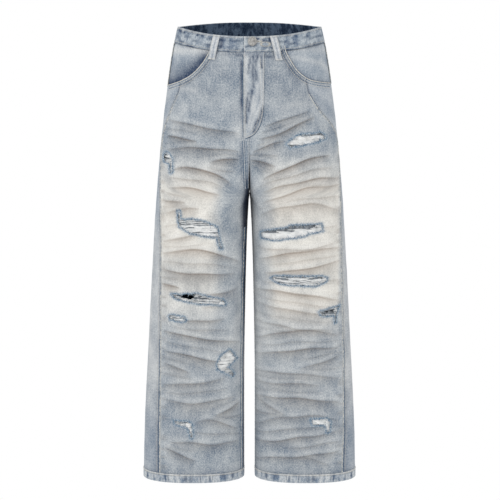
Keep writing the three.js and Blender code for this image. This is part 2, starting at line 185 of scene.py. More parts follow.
# Each pocket's mouth, from the waistband round to the side, as (x, z).
MOUTH = {
    -1: [
        (-79, -40), (-84, -51), (-91, -64), (-100, -78), (-113, -93), (-128, -106), (-146, -116),
        (-162, -122), (-180, -127.5), (-210, -131), (-240, -132),
    ],
    1: [
        (75, -42), (78, -55), (87, -72), (100, -92), (115, -106), (131, -115), (153, -120),
        (180, -123), (210, -124.5), (240, -125),
    ],
}
SIDE_SEAM_Y = -6  # the mouths are cut out of the backs in front of this
FAR = 400
# The creases, as (x, drop) along each dark line.
CREASES = {
    -1: [
        [(-178, 199), (-96, 211), (-20, 223)],
        [(-181, 238), (-146, 238), (-113, 242)],
        [(-183, 265), (-107, 258), (-20, 266)],
        [(-85, 292), (-53, 283), (-21, 280)],
        [(-169, 310), (-96, 308), (-38, 340)],
        [(-174, 347), (-120, 350), (-64, 361)],
        [(-190, 377), (-165, 380), (-140, 380)],
        [(-185, 403), (-152, 396), (-110, 392)],
        [(-191, 469), (-150, 456), (-108, 450)],
        [(-193, 496), (-75, 491), (-21, 516)],
        [(-196, 530), (-110, 538), (-32, 539)],
        [(-196, 562), (-175, 564), (-153, 570)],
        [(-98, 585), (-60, 582), (-26, 573)],
        [(-165, 643), (-110, 645), (-55, 639)],
        [(-193, 668), (-132, 680), (-21, 698)],
        [(-193, 714), (-111, 729), (-55, 743)],
        [(-193, 741), (-160, 754), (-133, 763)],
        [(-196, 792), (-133, 789), (-55, 778)],
        [(-190, 828), (-144, 833), (-33, 821)],
        [(-80, 866), (-50, 853), (-22, 836)],
        [(-122, 879), (-78, 876), (-26, 900)],
        [(-179, 923), (-111, 928), (-22, 930)],
        [(-191, 940), (-155, 955), (-122, 966)],
    ],
    1: [
        [(33, 207), (85, 188), (131, 175)],
        [(22, 238), (85, 214), (142, 188)],
        [(5, 266), (40, 251), (77, 241)],
        [(1, 285), (28, 290), (55, 298)],
        [(27, 331), (88, 299), (176, 277)],
        [(28, 358), (109, 334), (203, 329)],
        [(28, 383), (110, 352), (204, 345)],
        [(23, 410), (88, 386), (200, 400)],
        [(14, 479), (78, 484), (188, 471)],
        [(19, 508), (111, 488), (200, 482)],
        [(34, 537), (111, 528), (201, 511)],
        [(12, 577), (111, 583), (201, 601)],
        [(12, 607), (112, 623), (197, 634)],
        [(12, 647), (90, 660), (190, 668)],
        [(12, 692), (79, 670), (202, 681)],
        [(12, 728), (112, 710), (203, 708)],
        [(112, 754), (160, 740), (203, 726)],
        [(13, 767), (113, 766), (203, 779)],
        [(13, 792), (112, 789), (158, 791)],
        [(13, 825), (91, 822), (204, 835)],
        [(15, 830), (48, 845), (80, 862)],
        [(13, 891), (114, 863), (204, 876)],
        [(13, 932), (114, 914), (204, 902)],
        [(80, 960), (145, 955), (205, 946)],
        [(13, 975), (80, 960), (182, 979)],
    ],
}
# Behind, the seat is smooth and the knees' hollows fold; x is measured outwards.
BACK_CREASES = [
    [(20, 352), (80, 330), (150, 292)],
    [(30, 395), (100, 372), (185, 362)],
    [(25, 428), (110, 436), (196, 420)],
    [(30, 470), (120, 462), (190, 478)],
    [(60, 512), (130, 520), (205, 508)],
    [(25, 545), (110, 560), (200, 548)],
    [(30, 580), (100, 590), (170, 602)],
    [(30, 618), (120, 606), (210, 622)],
    [(28, 655), (110, 668), (205, 650)],
    [(60, 702), (140, 694), (210, 706)],
    [(25, 740), (120, 752), (215, 738)],
    [(28, 790), (100, 780), (190, 796)],
    [(40, 838), (130, 850), (220, 834)],
    [(26, 884), (110, 872), (180, 886)],
    [(40, 930), (130, 940), (220, 922)],
]
# The torn places, as (x, z) outlines.
RIPS = {
    -1: {
        "hip": [
            (-189, -279), (-184, -272), (-177, -274), (-169, -284), (-168, -300), (-168, -316),
            (-174, -317), (-177, -296), (-188, -293),
        ],
        "thigh": [
            (-156, -419), (-157, -398), (-151, -398), (-151, -417), (-125, -416), (-97, -420),
            (-71, -433), (-66, -454), (-60, -482), (-66, -482), (-71, -456), (-97, -454),
            (-130, -446), (-154, -433),
        ],
        "knee": [
            (-173, -584), (-147, -584), (-117, -581), (-101, -586), (-78, -592), (-59, -596),
            (-52, -607), (-56, -611), (-79, -607), (-122, -604), (-147, -598), (-166, -594),
        ],
        "below_knee": [
            (-180, -634), (-171, -631), (-143, -635), (-141, -642), (-145, -646), (-164, -645),
            (-176, -641),
        ],
        "shin": [
            (-43, -713), (-28, -736), (-40, -746), (-49, -752), (-33, -771), (-38, -777),
            (-56, -764), (-73, -755), (-71, -742), (-66, -729), (-56, -719),
        ],
        "ankle": [
            (-170, -874), (-137, -877), (-130, -882), (-127, -914), (-132, -916), (-138, -890),
            (-167, -883),
        ],
    },
    1: {
        "hip": [
            (81, -252), (92, -240), (110, -231), (135, -231), (158, -228), (167, -241),
            (137, -250), (113, -255), (88, -259),
        ],
        "thigh": [
            (25, -447), (48, -440), (80, -435), (88, -429), (125, -428), (158, -427), (161, -442),
            (130, -448), (118, -454), (90, -457), (71, -462), (51, -463), (25, -460),
        ],
        "knee": [
            (47, -548), (58, -543), (115, -543), (158, -543), (172, -547), (170, -555),
            (148, -565), (92, -563), (70, -561), (55, -556),
        ],
        "outer_knee": [
            (154, -624), (175, -618), (201, -613), (197, -625), (194, -633), (193, -651),
            (189, -651), (188, -634), (175, -635), (160, -633),
        ],
        "ankle": [
            (137, -870), (176, -871), (182, -879), (181, -901), (175, -903), (171, -885),
            (142, -884),
        ],
    },
}


def ease(value):
    value = np.clip(value, 0, 1)
    return value * value * (3 - 2 * value)


def bell(off, width):
    """1 where off is nought, and fading out to both sides of it."""
    return np.exp(-((off / width) ** 2))


def fading(off, length):
    return np.exp(-off / length)


def along(stations, drop):
    """A smooth curve through (drop, size) stations."""
    at, size = np.array(stations, float).T
    slope = np.gradient(size, at)
    slope[1:-1] = (size[2:] - size[:-2]) / (at[2:] - at[:-2])
    drop = np.clip(drop, at[0], at[-1])
    i = np.clip(np.searchsorted(at, drop, side="right") - 1, 0, len(at) - 2)
    span = at[i + 1] - at[i]
    t = (drop - at[i]) / span
    return (
        size[i] * (1 + 2 * t) * (1 - t) ** 2
        + slope[i] * span * t * (1 - t) ** 2
        + size[i + 1] * t * t * (3 - 2 * t)
        - slope[i + 1] * span * t * t * (1 - t)
    )


def squared(value):
    return np.sign(value) * np.abs(value) ** (2 / ROUNDNESS)


def form(turn, drop):
    """Places in mm on the smooth form's left half. turn runs from -1 at the centre front by 0 at
    the side to 1 at the centre back, and drop is the length down the side."""
    side = along(SIDE, drop)
    inner = along(INNER, drop)
    in_front = turn < 0
    depth = np.where(in_front, along(FRONT, drop), along(BACK, drop))
    divides = np.where(in_front, *DIVIDES)
    torso_x = side * squared(np.cos(turn * np.pi / 2))
    leg_x = (side + inner) / 2 + (side - inner) / 2 * squared(np.cos(turn * np.pi))
    merged = ease((drop - divides) / (CROTCH_DROP + DIVIDING - divides))
    x = torso_x + (leg_x - torso_x) * merged
    out = np.clip(x / 90, 0, 1) ** 0.8
    t = np.clip((drop - divides) / (CROTCH_DROP + DIVIDING * out - divides), 0, 1)
    share = 1 - (1 - t**3) ** (0.5 + out)
    full = 0
    for low, part in ((-side, 1 - share), (inner, share)):
        middle = (low + side) / 2
        off = np.abs((x - middle) / (side - middle))
        full = full + part * np.maximum(1 - off**ROUNDNESS, 0) ** (1 / ROUNDNESS)
    lean = np.sign(turn) * full
    lens = 1 - np.clip(x / side, 0, 1) ** RIM_FULLNESS
    tilt = np.where(in_front, -RIM_DIP, RIM_RISE) * lens * (1 - ease(drop / TILT_ENDS))
    return np.stack([x, depth * lean, tilt - drop], -1)


def between(lines):
    """Fainter creases half way between neighbours that lie far enough apart."""
    beyond, shortest, closest = 8, 40, 17
    made = []
    ordered = sorted(lines, key=lambda line: np.mean([drop for _, drop in line]))
    for pair in zip(ordered, ordered[1:]):
        ends = [sorted(line) for line in pair]
        low = max(line[0][0] for line in ends) - beyond
        high = min(line[-1][0] for line in ends) + beyond
        if high - low > shortest:
            xs = np.linspace(low, high, 4)
            drops = [np.interp(xs, *np.array(line, float).T) for line in ends]
            if np.mean(drops[1] - drops[0]) > closest:
                made.append(list(zip(xs, (drops[0] + drops[1]) / 2)))
    return made


def creased(hand, in_front, x, drop):
    """The creases at each place: how far the cloth stands out in mm, and its painted shade and
    highlight. Each one is a sharp trough under a soft roll with a painted highlight, and the painted
    shade in its trough fades out below it."""
    lines = CREASES[hand] if in_front else BACK_CREASES
    height, dark, pale = (np.zeros(x.shape) for _ in range(3))
    chance = np.random.default_rng(11 if in_front else 13 + hand)
    if not in_front:
        lines = [[(at + 7 * hand, low + chance.uniform(-8, 8)) for at, low in line] for line in lines]
    for faint, group in ((0, lines), (1, between(lines))):
        for line in group:
            strong = (1 - 0.5 * faint) * chance.uniform(0.7, 1.1)
            deep = chance.uniform(13, 24) * (1 - 0.35 * faint)
            lean, wave, phase = chance.uniform(0.3, 0.7), chance.uniform(0.8, 2.0), chance.uniform(0, 6)
            xs, drops = np.array(sorted(line), float).T
            t = np.clip((x - xs[0]) / (xs[-1] - xs[0]), 0, 1)
            lens = np.clip(np.sin(np.pi * t ** (0.7 + 0.6 * lean)), 0, 1) ** 0.38
            middle = np.polyval(np.polyfit(xs, drops, 2), x) + wave * np.sin(x / 15 + phase)
            off = drop - middle
            near = (off > -40) & (off < 60) & (lens > 0)
            off, share = off[near], lens[near] * strong
            width = deep * (0.35 + 0.65 * lens[near])
            fall = np.where(off < 0, bell(off, 1.4), np.exp(-((np.maximum(off, 0) / width) ** 1.5)))
            roll = bell(off + 7, 5)
            trough = bell(off, np.where(off < 0, 2.2, 0.6 * width))
            # The painted shade in the trough, and the painted highlight on the roll above it.
            dark[near] = np.maximum(dark[near], share * (0.74 * fall + 0.32 * bell(off - 0.8, 1.6)))
            pale[near] = np.maximum(pale[near], share * roll)
            height[near] += share * (0.9 * roll - 1.8 * trough)
    return height, dark, pale


def cloth(hand, turn, drop, lift=0.0):
    """Places in mm on the creased cloth of one half, normals, and its painted crease shade and
    highlight.
    """
    turn, drop = np.broadcast_arrays(np.asarray(turn, float), np.asarray(drop, float))
    place = form(turn, drop)
    across = form(np.minimum(turn + 0.01, 1), drop) - form(np.maximum(turn - 0.01, -1), drop)
    down = form(turn, drop + 3) - form(turn, drop - 3)
    normal = np.cross(down, across)
    normal[(np.abs(turn) >= 1 - SEAM_TURN) & (drop >= CROTCH_DROP), 1] = 0
    normal /= np.linalg.norm(normal, axis=-1, keepdims=True)
    x = place[..., 0]
    height, dark, pale = (np.zeros(x.shape) for _ in range(3))
    for in_front in (True, False):
        mine = (turn < 0) == in_front
        made = creased(hand, in_front, x[mine] * (hand if in_front else 1), drop[mine])
        height[mine], dark[mine], pale[mine] = made
    wander = np.sin(x / 23 + drop / 61 + 2 * hand) * np.sin(drop / 19 - x / 90) * 0.7
    wander += 0.5 * np.sin(x / 11 - drop / 33 + hand) * np.sin(drop / 9.5 + x / 50)
    # The cloth is held flat along its seams, at the waist and at the hem.
    held_free = ease((1 - np.abs(turn)) / 0.1) * ease(np.abs(turn) / 0.08)
    held_free = held_free * ease((drop - 60) / 120) * ease((1000 - drop) / 40)
    place[..., 0] = np.maximum(x, 0.02)
    place += normal * ((height + wander) * held_free + lift)[..., None]
    place[..., 0] *= hand
    normal[..., 0] *= hand
    return place, normal, dark, pale


def nearest_on(start, end, x, z):
    """The nearest points on a straight line, and how far off they are."""
    edge = end - start
    t = np.clip(((x - start[0]) * edge[0] + (z - start[1]) * edge[1]) / (edge @ edge), 0, 1)
    foot = start + t[:, None] * edge
    return foot, np.hypot(x - foot[:, 0], z - foot[:, 1])


def distance_to(outline, x, z):
    """How far places lie from a closed outline, the nearest point on it, and which are inside.
    Places well outside it count as endlessly far."""
    points = np.array(outline, float)
    best = np.full(x.shape, 1e9)
    nearest = np.zeros(x.shape + (2,))
    inside = np.zeros(x.shape, bool)
    low, high = points.min(0) - 12, points.max(0) + 12
    some = (x > low[0]) & (x < high[0]) & (z > low[1]) & (z < high[1])
    sx, sz = x[some], z[some]
    b, n, i = best[some], nearest[some], inside[some]
    for start, end in zip(points, np.roll(points, -1, axis=0)):
        foot, away = nearest_on(start, end, sx, sz)
        closer = away < b
        b[closer], n[closer] = away[closer], foot[closer]
        if start[1] != end[1]:
            crossed = start[0] + (sz - start[1]) * (end[0] - start[0]) / (end[1] - start[1])
            i ^= ((start[1] > sz) != (end[1] > sz)) & (sx < crossed)
    best[some], nearest[some], inside[some] = b, n, i
    return best, nearest, inside


def stroke(line, x, z, width):
    """A soft brush stroke along a line of points: 1 on it, fading out to its sides."""
    points = np.array(line, float)
    away = [nearest_on(start, end, x, z)[1] for start, end in zip(points, points[1:])]
    return bell(np.min(away, axis=0), width)


def ragged(outline, chance, step=2.6, jitter=0.7):
    """An outline with torn, uneven edges."""
    points = np.array(outline, float)
    made = []
    for start, end in zip(points, np.roll(points, -1, axis=0)):
        count = max(int(np.linalg.norm(end - start) / step), 1)
        made += [start + (end - start) * k / count for k in range(count)]
    return np.array(made) + chance.normal(0, jitter, (len(made), 2))


class Cut:
    """A flat cut of cloth that lies on the form between two edges, each given as a turn or as a
    function of the drop. Its flat plan has s across and t down, both from 0 to 1."""

    rows, columns = 160, 60

    def __init__(self, hand, starts, ends, drops):
        self.hand = hand
        self.drops = drops
        self.t = np.linspace(0, 1, self.rows + 1)
        self.s = np.linspace(0, 1, self.columns + 1)
        down = drops[0] + (drops[1] - drops[0]) * self.t
        first, last = (edge(down) if callable(edge) else edge + 0 * down for edge in (starts, ends))
        turn = first[:, None] + (last - first)[:, None] * self.s[None]
        places = form(turn, np.repeat(down[:, None], self.columns + 1, 1))
        steps = np.linalg.norm(np.diff(places, axis=1), axis=-1)
        length = np.concatenate([np.zeros((self.rows + 1, 1)), np.cumsum(steps, 1)], 1)
        even = length[:, -1:] * self.s[None]
        self.turn = np.array([np.interp(e, n, r) for e, n, r in zip(even, length, turn)])
        self.width = length[:, -1]

    def lay(self, s, t):
        """Turn and drop at each s and t, with the place across the flat cut and its width in mm."""
        row, column = np.clip(t, 0, 1) * self.rows, np.clip(s, 0, 1) * self.columns
        i = np.minimum(row.astype(int), self.rows - 1)
        j = np.minimum(column.astype(int), self.columns - 1)
        a, b = row - i, column - j
        upper = self.turn[i, j] * (1 - b) + self.turn[i, j + 1] * b
        lower = self.turn[i + 1, j] * (1 - b) + self.turn[i + 1, j + 1] * b
        drop = self.drops[0] + (self.drops[1] - self.drops[0]) * t
        width = np.interp(t, self.t, self.width)
        return upper * (1 - a) + lower * a, drop, s * width, width


def flat_grid(columns, rows):
    bm = bmesh.new()
    bmesh.ops.create_grid(bm, x_segments=columns, y_segments=rows, size=0.5)
    return bm


def plan_of(bm):
    flat = np.array([v.co[:2] for v in bm.verts])
    return flat[:, 0] + 0.5, 0.5 - flat[:, 1]


EDGE_REACH, EDGE_PULL = 3.2, 2.7  # how near a cut edge faces are made smaller and points drawn to it


def trim(bm, place, holes=(), keeps=(), limit_y=FAR):
    """Cuts holes out of a flat grid, and what is outside its keeps. place(s, t) gives mm."""
    at = place(*plan_of(bm))
    close = np.zeros(len(at), bool)
    for outline in holes:
        close |= (distance_to(outline, at[:, 0], at[:, 2])[0] < EDGE_REACH) & (at[:, 1] < limit_y)
    for outline in keeps:
        close |= distance_to(outline, at[:, 0], at[:, 2])[0] < EDGE_REACH
    bm.verts.ensure_lookup_table()
    edges = {e for v in np.flatnonzero(close) for f in bm.verts[v].link_faces for e in f.edges}
    bmesh.ops.subdivide_edges(bm, edges=list(edges), cuts=1, use_grid_fill=True)
    faces = list(bm.faces)
    middle = np.array([f.calc_center_median()[:2] for f in faces])
    at = place(middle[:, 0] + 0.5, 0.5 - middle[:, 1])
    gone = np.zeros(len(faces), bool)
    for outline in holes:
        gone |= distance_to(outline, at[:, 0], at[:, 2])[2] & (at[:, 1] < limit_y)
    for outline in keeps:
        gone |= ~distance_to(outline, at[:, 0], at[:, 2])[2]
    bmesh.ops.delete(bm, geom=[f for f, g in zip(faces, gone) if g], context="FACES")


def snap(bm, places, holes=(), keeps=(), limit_y=FAR):
    """Draws the cut edges' points onto the outlines."""
    on_edge = np.array([v.is_boundary for v in bm.verts])
    for outline, limit in [(h, limit_y) for h in holes] + [(k, FAR) for k in keeps]:
        away, nearest, _ = distance_to(outline, places[:, 0], places[:, 2])
        near = on_edge & (away < EDGE_PULL) & (places[:, 1] < limit)
        places[near, 0], places[near, 2] = nearest[near, 0], nearest[near, 1]


def finish_cloth(name, bm, places, flat, shades, materials, thickness, hand, ring=False):
    """Turns a flat cut into a shell of cloth with its UV map, shade attributes and materials."""
    for vert, place in zip(bm.verts, places * MM):
        vert.co = place
    if hand < 0:
        bmesh.ops.reverse_faces(bm, faces=bm.faces)
    bm.verts.index_update()
    for shade, values in shades.items():
        layer = bm.verts.layers.float.new(shade)
        for vert, value in zip(bm.verts, np.clip(values, 0, 1).tolist()):
            vert[layer] = value
    uv_layer = bm.loops.layers.uv.new("cut")
    for face in bm.faces:
        face.smooth = True
        for loop in face.loops:
            loop[uv_layer].uv = flat[loop.vert.index] * MM
    if ring:
        bmesh.ops.remove_doubles(bm, verts=bm.verts, dist=0.2 * MM)
    piece = new_piece(name, bm)
    for material in materials:
        piece.data.materials.append(material)
    shell = piece.modifiers.new("thickness", "SOLIDIFY")
    shell.thickness = thickness * MM
    shell.offset = -1.0
    shell.material_offset = len(materials) - 1
    return piece


def shades_of(x, **given):
    return {name: given.get(name, 0) + np.zeros(x.shape) for name in SHADES}


def lay_cloth(name, cut, grid, lift, shade, materials, thickness, trims):
    """A piece of cloth from a Cut, trimmed, shaded and laid at a lift from the form."""

    def on_form(s, t):
        turn, drop, _, _ = cut.lay(s, t)
        return cloth(cut.hand, turn, drop)[0]

    bm = flat_grid(*grid)
    trim(bm, on_form, **trims)
    turn, drop, across, width = cut.lay(*plan_of(bm))
    places, _, dark, pale = cloth(cut.hand, turn, drop, lift)
    snap(bm, places, **trims)
    shades = shade(*places.T, drop, across, width, dark, pale)
    flat = np.stack([across, -drop], -1)
    return finish_cloth(name, bm, places, flat, shades, materials, thickness, cut.hand)


def flat_size(piece):
    """The width, length and area of a piece's flat cut, in metres, from its UV map."""
    mesh = piece.data
    uv = np.zeros(len(mesh.loops) * 2, np.float32)
    mesh.uv_layers[0].data.foreach_get("uv", uv)
    uv = uv.reshape(-1, 2)
    area = 0.0
    for face in mesh.polygons:
        ring = uv[face.loop_start : face.loop_start + face.loop_total]
        x, y = ring[:, 0], ring[:, 1]
        area += abs(float(np.dot(x, np.roll(y, -1)) - np.dot(y, np.roll(x, -1)))) / 2
    width, length = (uv.max(0) - uv.min(0)).tolist()
    return (width, length), min(area, width * length)


def sew(piece, nodes, held=None):
    """Rides the root and stands for its CAD nodes; when it is cloth, its flat cut is measured."""
    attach(piece, "root")
    if nodes:
        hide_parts(*nodes)
    if held:
        flat, area = flat_size(piece)


# The wash: how twill that has been dyed, stone-washed, scraped and aged takes its colours, along
# with the painted shade and painted highlights that its shade attributes carry.
wash = bpy.data.node_groups.new("washed_denim", "ShaderNodeTree")
SHADES = ("cream", "ink", "crease", "glow", "fray")
TAKEN = {"Place": "Vector", "Dark": "Color", "Light": "Color"}
TAKEN.update(dict.fromkeys(SHADES + ("Blotch",), "Float"))
for name, kind in TAKEN.items():
    wash.interface.new_socket(name, in_out="INPUT", socket_type="NodeSocket" + kind)
for name, kind in (("Colour", "Color"), ("Height", "Float")):
    wash.interface.new_socket(name, in_out="OUTPUT", socket_type="NodeSocket" + kind)
given = wash.nodes.new("NodeGroupInput").outputs


def math_of(tree, how, a, b):
    return put(tree, "Math", {0: a, 1: b}, operation=how)


def span_of(tree, value, low, high, to_low=0.0, to_high=1.0):
    numbers = {"From Min": low, "From Max": high, "To Min": to_low, "To Max": to_high}
    return put(tree, "MapRange", {"Value": value, **numbers})


def noise_of(tree, place, scale, stretch=(1, 1, 1), detail=2.0, rough=0.6):
    turned = put(tree, "Mapping", {"Vector": place, "Scale": stretch})
    inputs = {"Vector": turned, "Scale": scale, "Detail": detail, "Roughness": rough}
    return put(tree, "TexNoise", inputs)


at = given["Place"]
speckle = span_of(wash, noise_of(wash, at, 360, (1, 0.75, 1), 5.0, 0.85), 0.43, 0.57)
streak = span_of(wash, noise_of(wash, at, 260, (1, 0.1, 1), 2.0), 0.35, 0.65)
weft = span_of(wash, noise_of(wash, at, 300, (0.1, 1, 1), 2.0), 0.3, 0.7)
mottle = span_of(wash, noise_of(wash, at, 22, (1, 0.8, 1), 4.0), 0.37, 0.63)
blotch = span_of(wash, noise_of(wash, at, 85, (1, 0.45, 1), 3.0), 0.42, 0.58)
tone = math_of(wash, "MULTIPLY", speckle, 0.48)
for part, share in ((streak, 0.12), (weft, 0.06), (mottle, 0.36)):
    tone = math_of(wash, "ADD", tone, math_of(wash, "MULTIPLY", part, share))
deeper = math_of(wash, "MULTIPLY", math_of(wash, "SUBTRACT", blotch, 0.5), given["Blotch"])
tone = math_of(wash, "ADD", tone, deeper)
colour = mixed(wash, tone, given["Dark"], given["Light"])
cream = mixed(wash, tone, srgb(204, 201, 194), srgb(252, 250, 244))
creamy = math_of(wash, "MULTIPLY", given["cream"], span_of(wash, mottle, 0, 1, 0.88, 1.06))
colour = mixed(wash, creamy, colour, cream)
# Kept dye and painted shade both darken the cloth towards deep indigo.
inky = math_of(wash, "MULTIPLY", given["ink"], span_of(wash, tone, 0.1, 0.9, 1.15, 0.75))
colour = mixed(wash, inky, colour, srgb(48, 66, 94))
# Painted shade in creases, puckers and along the inner legs, multiplied in a grey taupe.
colour = mixed(wash, given["crease"], colour, (0.445, 0.385, 0.35, 1), "MULTIPLY")
# Worn places and painted highlights lighten towards off-white.
wear_and_highlight_colour = mixed(wash, tone, srgb(196, 199, 201), srgb(240, 240, 237))
colour = mixed(wash, given["glow"], colour, wear_and_highlight_colour)
torn = mixed(wash, span_of(wash, speckle, 0.5, 1.0), srgb(90, 122, 150), srgb(200, 210, 216))
colour = mixed(wash, given["fray"], colour, torn)
twill = put(
    wash, "TexWave", {"Vector": at, "Scale": 480.0, "Distortion": 0.6, "Detail": 1.0}, 1,
    wave_type="BANDS", bands_direction="DIAGONAL",
)
ribs = math_of(wash, "MULTIPLY", twill, 0.5)
height = math_of(wash, "ADD", ribs, math_of(wash, "MULTIPLY", speckle, 0.5))
result = wash.nodes.new("NodeGroupOutput")
wash.links.new(colour, result.inputs["Colour"])
wash.links.new(height, result.inputs["Height"])


def denim(name, dark, light, blotches=0.0, shades=SHADES):
    """A denim in its own two blues, that reads the shade attributes of its piece."""
    made = new_material(name)
    tree = made.node_tree
    group = tree.nodes.new("ShaderNodeGroup")
    group.node_tree = wash
    tree.links.new(put(tree, "UVMap", uv_map="cut"), group.inputs["Place"])
    group.inputs["Dark"].default_value = dark
    group.inputs["Light"].default_value = light
    group.inputs["Blotch"].default_value = blotches
    for shade in shades:
        tree.links.new(put(tree, "Attribute", None, 2, attribute_name=shade), group.inputs[shade])
    weave = {"Height": group.outputs["Height"], "Strength": 0.35, "Distance": 0.0006}
    return coat(made, {
        "Base Color": group.outputs["Colour"], "Normal": put(tree, "Bump", weave),
        "Roughness": 0.93, "Specular IOR Level": 0.2,
    })


leg_denim = denim("leg_denim", srgb(92, 113, 136), srgb(213, 217, 218))
# The reverse of the cloth, painted dark to stand for the shade inside the jeans.
shaded_inside_denim = denim("shaded_inside_denim", srgb(28, 44, 66), srgb(84, 102, 124), 0.4, shades=())


def smooth_line(points, count):
    """A smooth curve through (x, z) points."""
    points = np.array(points, float)
    lengths = np.concatenate([[0], np.cumsum(np.linalg.norm(np.diff(points, axis=0), axis=1))])
    pairs = [list(zip(lengths, points[:, k])) for k in (0, 1)]
    at = np.linspace(0, lengths[-1], count)
    return np.stack([along(pair, at) for pair in pairs], -1)


def scoop_of(hand, lap=0.0):
    """The region outwards of and above a pocket mouth's edge, moved down and inwards by lap."""
    edge = smooth_line(MOUTH[hand], 60) - np.array([hand * lap, lap])
    return np.concatenate([edge, [(hand * FAR, edge[-1, 1]), (hand * FAR, FAR), (edge[0, 0], FAR)]])


def half_waves(value, *periods):
    return sum(np.sin(value / period + k) for k, period in enumerate(periods)) / len(periods)


chance = np.random.default_rng(5)
torn_edges = {
    hand: {name: ragged(outline, chance) for name, outline in RIPS[hand].items()} for hand in (-1, 1)
}
SIDES = {-1: "right", 1: "left"}
FRONT_GRID = (50, 470)
# How far the kept dye and painted shade along the right leg's inner edge reach, as (drop, mm).
INNER_DYE_AND_SHADE_REACH = [(300, 3), (340, 9), (400, 12), (480, 9), (560, 7), (640, 4), (720, 2.6), (1000, 2.4)]
# Where the cloth is darker, from kept dye and painted shade, and where it wore paler: (line, width,
# share).
DYE_AND_SHADE_CLOUDS = {
    -1: [
        ([(-110, -135), (-75, -150)], 20, 0.10), ([(-70, -84), (-52, -104)], 14, 0.10),
        ([(-27, -61), (-15, -63)], 4, 0.5), ([(-60, -60), (-35, -61)], 3, 0.25),
        ([(-180, -330), (-165, -352)], 9, 0.14), ([(-40, -380), (-40, -470)], 14, 0.06),
        ([(-190, -362), (-160, -384)], 9, 0.14), ([(-34, -585), (-24, -625), (-30, -680)], 9, 0.2),
        ([(-150, -875), (-175, -935)], 16, 0.10), ([(-170, -745), (-120, -760)], 20, 0.07),
    ],
    1: [
        ([(80, -150), (130, -152)], 15, 0.12), ([(84, -88), (100, -118)], 9, 0.16),
        ([(24, -62), (48, -66)], 4, 0.5), ([(150, -215), (190, -225)], 12, 0.08),
        ([(30, -490), (30, -560)], 16, 0.06), ([(40, -620), (25, -650)], 16, 0.08),
        ([(40, -835), (150, -850)], 18, 0.07),
    ],
}
WORN = {
    -1: [
        ([(-30, -175), (-24, -232)], 11, 0.28), ([(-146, -133), (-118, -138)], 6, 0.35),
        ([(-170, -180), (-120, -176)], 9, 0.16), ([(-60, -48), (-45, -75)], 9, 0.16),
        ([(-120, -625), (-60, -628)], 10, 0.2),
    ],
    1: [
        ([(70, -176), (128, -166)], 10, 0.22), ([(75, -205), (120, -196)], 7, 0.16),
        ([(82, -66), (88, -80)], 4, 0.3), ([(128, -128), (122, -122)], 5, 0.3),
        ([(90, -262), (170, -252)], 8, 0.16),
    ],
}


def front_shade(x, y, z, drop, across, width, dark, pale):
    """Where a front has faded, kept its dye, worn white and frayed, and its painted shade and light."""
    out = x * hand
    from_side = width - across
    from_inner = out - along(INNER, drop)
    from_mouth = distance_to(mouth_hole, x, z)[0]
    drift = 12 * half_waves(drop, 23, 41, 67)
    cream = ease((out - (48 if hand < 0 else 20) + drift) / 45) * ease((207 - out) / 14)
    cream *= ease((drop - 238 - drift) / 125) * (1 - ease((drop - 590 - drift) / 125))
    inner_dye_and_shade = np.zeros(x.shape)
    # Painted shade over the hips, fading out down the thigh.
    ink = (0.165 + 0.03 * hand) * (1 - ease((drop - 90) / 190))
    if hand < 0:
        cream *= 1 - 0.34 * ease((drop - 470) / 60)
        # The right leg's inner edge: a dark band of kept dye and painted shade, with a wider fainter
        # dark zone beside it.
        inner_dye_and_shade = ease((drop - 305) / 40) * (1 - 0.55 * ease((drop - 590) / 120))
        inner_dye_and_shade *= np.exp(-np.abs(from_inner / along(INNER_DYE_AND_SHADE_REACH, drop)) ** 3)
        ink += 0.10 * bell(from_inner, 30) * ease((drop - 285) / 60) * (1 - ease((drop - 700) / 200))
        # Painted shadow beside the fly's free edge.
        fly_edge_shadow = ease((drop - 45) / 15) * (1 - 0.6 * ease((drop - 150) / 30))
        ink += 0.8 * bell(out - 16.5, 3.6) * fly_edge_shadow * (1 - ease((drop - 330) / 30))
    ink += 1.35 * inner_dye_and_shade
    # Darker patches of kept dye and painted shade.
    for line, reach, share in DYE_AND_SHADE_CLOUDS[hand]:
        ink += share * stroke(line, x, z, reach)
    ink += 0.06 * ease((drop - 690) / 180) + 0.35 * fading(1000 - drop, 9)
    ink += 0.38 * fading(drop - 34, 3.0) + 0.3 * fading(np.abs(from_mouth - 9), 2.5)
    ink += 0.25 * bell(from_mouth - 9, 7) * (0.5 + 0.5 * half_waves(x + z, 5, 8))
    # A worn pale line along the outseam, and painted highlights on the crease rolls.
    glow = 0.55 * bell(from_side, 2.6) * ease((drop - 125) / 20) + 0.3 * pale
    glow += 0.9 * bell(from_mouth, 1.6)
    # Painted light over the shins.
    glow += 0.11 * ease((drop - 600) / 80) * (1 - 0.7 * ease((drop - 850) / 90))
    # Painted light along the inner thighs, lifting the shade between the legs.
    inner_glow = 0.36 + 0.06 * hand
    inner_glow *= ease((drop - 300) / 80) * (1 - ease((drop - 640) / 260))
    glow += inner_glow * bell(from_inner, 34)
    for line, reach, share in WORN[hand]:
        glow += share * stroke(line, x, z, reach)
    glow = np.clip(glow, 0, 1) * (1 - np.clip(1.3 * inner_dye_and_shade, 0, 1))
    # Where the outseam has shrunk, painted shade in ripples stands for the puckers beside it.
    pucker_shade = np.clip(np.sin(drop / 4.6 + 2.2 * np.sin(drop / 19) + hand), 0, 1)
    pucker_shade = 0.34 * pucker_shade * ease((drop - 230) / 80) * bell(from_side - 9, 9)
    # The painted shade of the creases, puckers and inner edge.
    crease = np.max([dark, pucker_shade, 0.95 * inner_dye_and_shade], axis=0)
    fray = np.max([bell(distance_to(outline, x, z)[0], 3.6) for outline in holes], axis=0)
    return shades_of(x, cream=cream, ink=ink, crease=crease, glow=glow, fray=fray)


